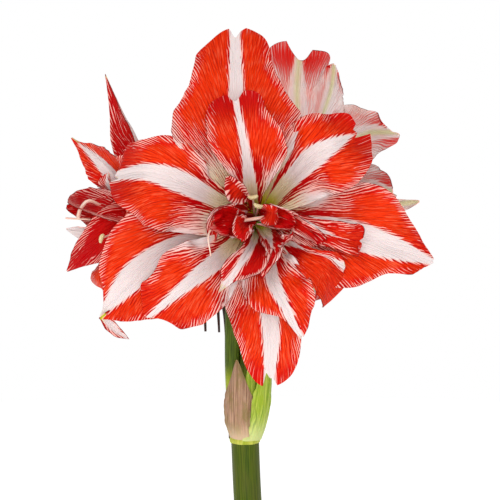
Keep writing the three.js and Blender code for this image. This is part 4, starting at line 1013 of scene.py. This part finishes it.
# How far behind the throat the last two points of a pedicel are
PEDICEL_ENDS = (51.3, 45.3)
scape = stalk_piece("scape", SCAPE_LINE, (11.2, 11.4, 10.8, 10.35, 10.3), 56, 90, 1, 0.012, SCAPE_SKIN)
collar = turned_piece("collar", COLLAR, 56, 20, lambda a, h, r: 0.25 * np.cos(7 * a + 1) * (r > 8))
collar.data.transform(Matrix.Translation(Vector(SEAT) * MM))
collar.data.materials.append(COLLAR_SKIN)
stems = [scape, collar]
for seed, (bloom, line) in enumerate(PEDICELS.items(), 2):
    to_plant = BLOOMS[bloom]["place"]
    ends = [tuple(value / MM for value in to_plant @ Vector((0, behind * MM, 0)))
            for behind in PEDICEL_ENDS]
    stems.append(stalk_piece(f"pedicel_{bloom}", line + ends, (5.2, 6.1, 5.9, 5.7, 6.4, 7.6, 6.9), 32, 90,
                             seed, 0.02, PEDICEL_SKIN))
stems = join("stems", stems)
soften(stems)
stands_for(stems, "scape", "green_stem")


def blade_piece(name, shape, rows, columns, seed, thickness):
    """A leaf or bract that stands up in a rosette facing up."""
    points, u, v, half, length = blade_surface(shape, rows, columns, seed)
    piece, row, column = grid_piece(name, points)
    vein = np.stack([v * half / PER_CM + seed, u * length / PER_CM, 0 * u], axis=-1)
    carry(piece, "vein", vein[row, column])
    thicken(piece, thickness)
    soften(piece)
    return piece


def bract(azimuth, profile, half, drift, curl, ruffle):
    return fanned(azimuth, profile, half, drift, curl=curl, ruffle=ruffle, round=4, fold=(0, 0),
                  frill=(0.5, 7), ragged=0.03)


# Spathe, whose right bract has a second one inside it, and the withered bracteoles
SPATHES = {
    "spathe_left": (SPATHE_PINK, "spathe_pink", [
        bract(-118, [(11.4, 4), (14.2, 15), (15.4, 30), (15.2, 46), (14.8, 64)], (13.6, 17.5, 16, 10, 3), 6,
              (1.16, 1.12, 0.9, 0.5), (0.8, 2, 0.3))]),
    "spathe_right": (SPATHE_GREEN, "spathe_green", [
        bract(-38, [(12.6, 3), (16.2, 14), (19.4, 32), (21, 52), (21, 76)], (8, 12, 13, 11, 4), 8,
              (0.74, 0.85, 0.8, 0.5), (0.8, 2, 0.8)),
        bract(-68, [(11.6, 3), (13, 14), (13.6, 32), (14, 50), (13.4, 66)], (6, 7, 7, 6, 3), 2,
              (0.6, 0.5, 0.5), (0.5, 2, 0.2))]),
}
BRACT_SEED = 40
BRACT_THICKNESS = 0.5
for seed, (name, (skin, slot, shapes)) in enumerate(SPATHES.items(), BRACT_SEED):
    bracts = [blade_piece(f"{name}_{index}", shape, 70, 36, seed + 7 * index, BRACT_THICKNESS)
              for index, shape in enumerate(shapes)]
    spathe = join(f"{name}_skin", bracts)
    spathe.data.transform(placing(SEAT, 0, 90))
    stands_for(spathe, name, slot, skin)

BRACTEOLES = [
    [(-14.7, 8.9, 422.5), (-15, 9.5, 470), (-17, 11, 520), (-21.5, 6.5, 540), (-25.5, -1, 532),
     (-24.6, -6, 504)],
    [(-16.8, 6.3, 422.5), (-18.4, 6.6, 470), (-21, 11, 516), (-28, 10, 544), (-35, -1, 534),
     (-34.5, -8, 505)],
]
for index, line in enumerate(BRACTEOLES):
    strip = stalk_piece(f"bracteole_strip_{index + 1}", line, (1, 1, 1.1, 1.5, 0.8), 12, 80, index, 0.22)
    soften(strip)
    stands_for(strip, f"bracteole_{index + 1}", "withered", WITHERED)

# Leaves: azimuth, (reach, height) above the neck's floor, and the sideways drift of the tip
NECK_FLOOR = 168
LEAF_SEED = 60
LEAF_THICKNESS = 1.5
LEAVES = [
    (182, [(13.4, 0.3), (20, 52), (42, 112), (88, 148), (142, 142)], -16),
    (6, [(13.4, 0.3), (21, 56), (50, 114), (102, 136), (152, 112)], 14),
    (272, [(13.4, 0.3), (19, 48), (36, 94), (68, 124), (104, 130)], 18),
    (93, [(13.4, 0.3), (20, 54), (38, 114), (74, 154), (120, 158)], -12),
]
for index, (azimuth, profile, drift) in enumerate(LEAVES):
    shape = fanned(azimuth, profile, (7.6, 12.5, 18, 19, 13), drift, round=4, fold=(0, 0.1, 0.15, 0.1),
                   curl=(0.67, 0.55, 0.35, 0.3), ruffle=(1, 2, 0.2), frill=(0.15, 12), pleat=0.12,
                   groove=0.9, ragged=0.006)
    leaf = blade_piece(f"strap_leaf_{index + 1}", shape, 120, 26, LEAF_SEED + index, LEAF_THICKNESS)
    leaf.data.transform(placing((0, 0, NECK_FLOOR), 0, 90))
    stands_for(leaf, f"leaf_{index + 1}", "leaf", LEAF_SKIN)

# Bulb: body with its cup, torn tunics over it, roots below
BULB_OUTLINE = [(0, 64), (15, 64), (27, 69), (40, 84), (46, 104), (45, 122), (37, 142), (27, 158),
                (21.5, 172), (21, 186), (18.4, 186), (15.4, 168), (0, 168)]
# The part of the outline that tunics lie on, how high they start, and where the pale neck starts
FLANK_RADII, FLANK_HEIGHTS = zip(*BULB_OUTLINE[3:10])
TUNIC_FOOT = 100
NECK_START = 160
# Torn tunics: middle angle and width in degrees, height of the torn edge, and how far it stands off
TUNICS = [(-100, 150, 163, 0.9), (20, 130, 157, 0.8), (140, 160, 160, 1.0), (-50, 90, 146, 1.7),
          (85, 70, 150, 1.8), (200, 80, 141, 1.9)]
TUNIC_ROWS, TUNIC_COLUMNS = 40, 60
TUNIC_THICKNESS = 0.4
ROOTS = 7
TUNIC_SEED, ROOT_SEED = 80, 11
RIBBING_REACH = 30
ribs = bumps(5, (5, 12))


def ribbing(angle):
    return 0.5 * ribs(RIBBING_REACH * np.cos(angle), RIBBING_REACH * np.sin(angle))


def tunic_piece(seed, middle, width, top, stand):
    random = np.random.default_rng(TUNIC_SEED + seed)
    side = np.linspace(-0.5, 0.5, TUNIC_COLUMNS + 1)
    edge = top + 5 * wander(random, 7, side + 0.5) + 2.5 * wander(random, 22, side + 0.5)
    edge = edge - 26 * np.abs(2 * side) ** 4
    rise = np.linspace(0, 1, TUNIC_ROWS + 1)[:, None]
    height = TUNIC_FOOT + (edge[None] - TUNIC_FOOT) * rise
    angle = np.radians(middle + width * side)[None] + 0 * height
    flare = 1.2 * rise**6 * (1 + wander(random, 9, side + 0.5))[None]
    radius = np.interp(height, FLANK_HEIGHTS, FLANK_RADII) + stand + ribbing(angle) + flare
    points = np.stack([radius * np.cos(angle), radius * np.sin(angle), height], axis=-1)
    flap, row, column = grid_piece(f"tunic_{seed}", points)
    carry(flap, "vein", np.stack([angle * 4 + seed, height / PER_CM, 0 * angle], axis=-1)[row, column])
    flap.data.materials.append(TUNIC)
    thicken(flap, TUNIC_THICKNESS)
    return flap


bulb = turned_piece("bulb_body", BULB_OUTLINE, 96, 110,
                    lambda a, h, r: np.where((h > 70) & (r > 19), ribbing(a), 0), seed=1)
bulb.data.materials.append(TUNIC)
bulb.data.materials.append(NECK_SKIN)
for polygon in bulb.data.polygons:
    polygon.material_index = int(polygon.center.z > NECK_START * MM)
tunics = [bulb] + [tunic_piece(seed, *tunic) for seed, tunic in enumerate(TUNICS)]
random = np.random.default_rng(ROOT_SEED)
for index in range(ROOTS):
    angle = CIRCLE * (index + 0.5 * random.uniform()) / ROOTS
    out, down = random.uniform(24, 36), random.uniform(26, 40)
    line = [(reach * math.cos(angle), reach * math.sin(angle), height)
            for reach, height in (
                (10, 72), (15, 60), (15 + 0.6 * out, 62 - 0.5 * down), (15 + out, 62 - down))]
    tunics.append(stalk_piece(f"root_{index}", line, (2.2, 2.0, 1.4), 10, 24, index, 0.08, ROOT_SKIN))
bulb = join("bulb_in_tunics", tunics)
soften(bulb)
stands_for(bulb, "bulb", "bulb_skin")

# Soil with its crumbs
SOIL_OUTLINE = [(0, 9.4), (46, 9.4), (47.6, 10.2), (67.3, 116), (66.6, 117.4), (60, 118), (0, 120)]
# Above this height the soil's own relief takes over from its outline
SOIL_TOP = 116.5
CRUMBS, CRUMB_SEED = 420, 31
coarse, small = bumps(21, (14, 34)), bumps(22, (3, 8), 60)


def ground_height(x, y):
    radius = np.hypot(x, y)
    crown = 117.3 + 3.2 * smooth(67, 40, radius)
    return crown + (0.7 * coarse(x, y) + 0.55 * small(x, y)) * smooth(0, 6, 70.3 - radius)


soil = turned_piece("soil_body", SOIL_OUTLINE, 144, 130)
places = places_of(soil) / MM
top = places[:, 2] > SOIL_TOP
places[top, 2] = ground_height(places[top, 0], places[top, 1])
lay(soil, places)
soil.data.materials.append(SOIL)
select_only()
bpy.ops.mesh.primitive_ico_sphere_add(subdivisions=1, radius=1)
crumb = bpy.context.object
crumb.data.materials.append(SOIL)
random = np.random.default_rng(CRUMB_SEED)
crumbs = []
for _ in range(CRUMBS):
    angle, reach = random.uniform(0, CIRCLE), 66 * math.sqrt(random.uniform(0.42, 0.97))
    x, y = reach * math.cos(angle), reach * math.sin(angle)
    size = random.uniform(0.7, 2.2) * random.uniform(0.6, 1, 3)
    piece = crumb.copy()
    piece.data = crumb.data.copy()
    bpy.context.collection.objects.link(piece)
    turn = Matrix.Rotation(random.uniform(0, 6.28), 4, "Z")
    turn = turn @ Matrix.Rotation(random.uniform(0, 3.1), 4, "X")
    place = Vector((x, y, float(ground_height(x, y)) + 0.3 * size[2])) * MM
    piece.data.transform(Matrix.Translation(place) @ turn @ Matrix.Diagonal((*(size * MM), 1)))
    crumbs.append(piece)
bpy.data.objects.remove(crumb)
soil = join("soil_in_pot", [soil] + crumbs)
soften(soil, 40)
stands_for(soil, "soil", "soil")


def drawn_up(name, outline, sides):
    """A disc extruded ring by ring along an outline of (radius, height) in mm, as a pot is drawn up."""
    select_only()
    radius, height = outline[0]
    bpy.ops.mesh.primitive_circle_add(vertices=sides, radius=radius * MM, fill_type="NGON",
                                      location=(0, 0, height * MM))
    piece = named(name)
    bpy.ops.object.transform_apply(location=True)
    bpy.ops.object.mode_set(mode="EDIT")
    bpy.ops.mesh.select_all(action="SELECT")
    for next_radius, next_height in outline[1:]:
        bpy.ops.mesh.extrude_region_move(
            TRANSFORM_OT_translate={"value": (0, 0, (next_height - height) * MM)})
        scale = next_radius / radius
        bpy.ops.transform.resize(value=(scale, scale, 1), center_override=(0, 0, next_height * MM))
        radius, height = next_radius, next_height
    bpy.ops.mesh.select_all(action="SELECT")
    bpy.ops.mesh.normals_make_consistent(inside=False)
    bpy.ops.object.mode_set(mode="OBJECT")
    return piece


# Pot, with its drain holes
POT = [(51, 0), (52.4, 0.5), (53, 2), (70.2, 108.6), (70.6, 110), (76, 111), (77, 112.6), (79.9, 137),
       (79.6, 139), (78, 140), (70.4, 140), (68.6, 139), (68, 137), (47.6, 11), (46.4, 9.3), (44, 9)]
DRAIN_HOLES, DRAIN_RADIUS, DRAIN_REACH = 4, 4, 24
pot = drawn_up("clay_pot", POT, 128)
for index in range(DRAIN_HOLES):
    angle = CIRCLE / DRAIN_HOLES * (index + 0.5)
    select_only()
    bpy.ops.mesh.primitive_cylinder_add(
        vertices=24, radius=DRAIN_RADIUS * MM, depth=0.03,
        location=(DRAIN_REACH * MM * math.cos(angle), DRAIN_REACH * MM * math.sin(angle), 0.005))
    drill = bpy.context.object
    finish_with(pot, "BOOLEAN", operation="DIFFERENCE", object=drill, solver="EXACT")
    bpy.data.objects.remove(drill)
finish_with(pot, "BEVEL", width=0.0006, segments=2, limit_method="ANGLE", angle_limit=math.radians(25))
soften(pot, 40)
stands_for(pot, "pot", "clay", CLAY)

# Floor, lights and camera
select_only()
bpy.ops.mesh.primitive_circle_add(vertices=96, radius=2.4, fill_type="NGON", location=(0, 0, -0.0005))
floor = named("floor")
floor.data.materials.append(new_material("floor", Base_Color=(0.9, 0.9, 0.9, 1), Roughness=0.8,
                                         Emission_Color=(1, 1, 1, 1), Emission_Strength=0.6)[0])

world = bpy.data.worlds.new("studio")
world.use_nodes = True
bpy.context.scene.world = world
n = Nodes(world.node_tree)
seen = n.add("ShaderNodeLightPath").outputs["Is Camera Ray"]
n.feed(world.node_tree.nodes["Background"].inputs, Color=(1, 1, 1, 1),
       Strength=n.ramp(seen, 0, 1, 0.6, 1.0, "LINEAR"))


def softbox(name, place, target, width, power):
    bpy.ops.object.light_add(type="AREA", location=place)
    lamp = bpy.context.object
    lamp.name = name
    lamp.data.shape = "SQUARE"
    lamp.data.size = width
    lamp.data.energy = power
    lamp.rotation_mode = "QUATERNION"
    lamp.rotation_quaternion = (Vector(target) - Vector(place)).to_track_quat("-Z", "Y")


softbox("key", (-1.1, -2.0, 1.9), (0, 0, 0.5), 1.0, 14)
softbox("front", (0.1, -2.0, 0.8), (0, 0, 0.58), 0.6, 11.4)

TILT = math.radians(6)
FOCUS = Vector((-0.002, 0, 0.564))
DISTANCE = 1.3
SENSOR_WIDTH = 36
# The focal length over the picture's width
FOCAL_RATIO = 3.552
bpy.ops.object.camera_add(location=FOCUS - DISTANCE * Vector((0, math.cos(TILT), -math.sin(TILT))),
                          rotation=(math.pi / 2 - TILT, 0, 0))
camera = bpy.context.object
camera.data.sensor_width = SENSOR_WIDTH
camera.data.lens = FOCAL_RATIO * SENSOR_WIDTH
bpy.context.scene.camera = camera
bpy.context.scene.view_settings.view_transform = "Standard"

bpy.context.view_layer.update()
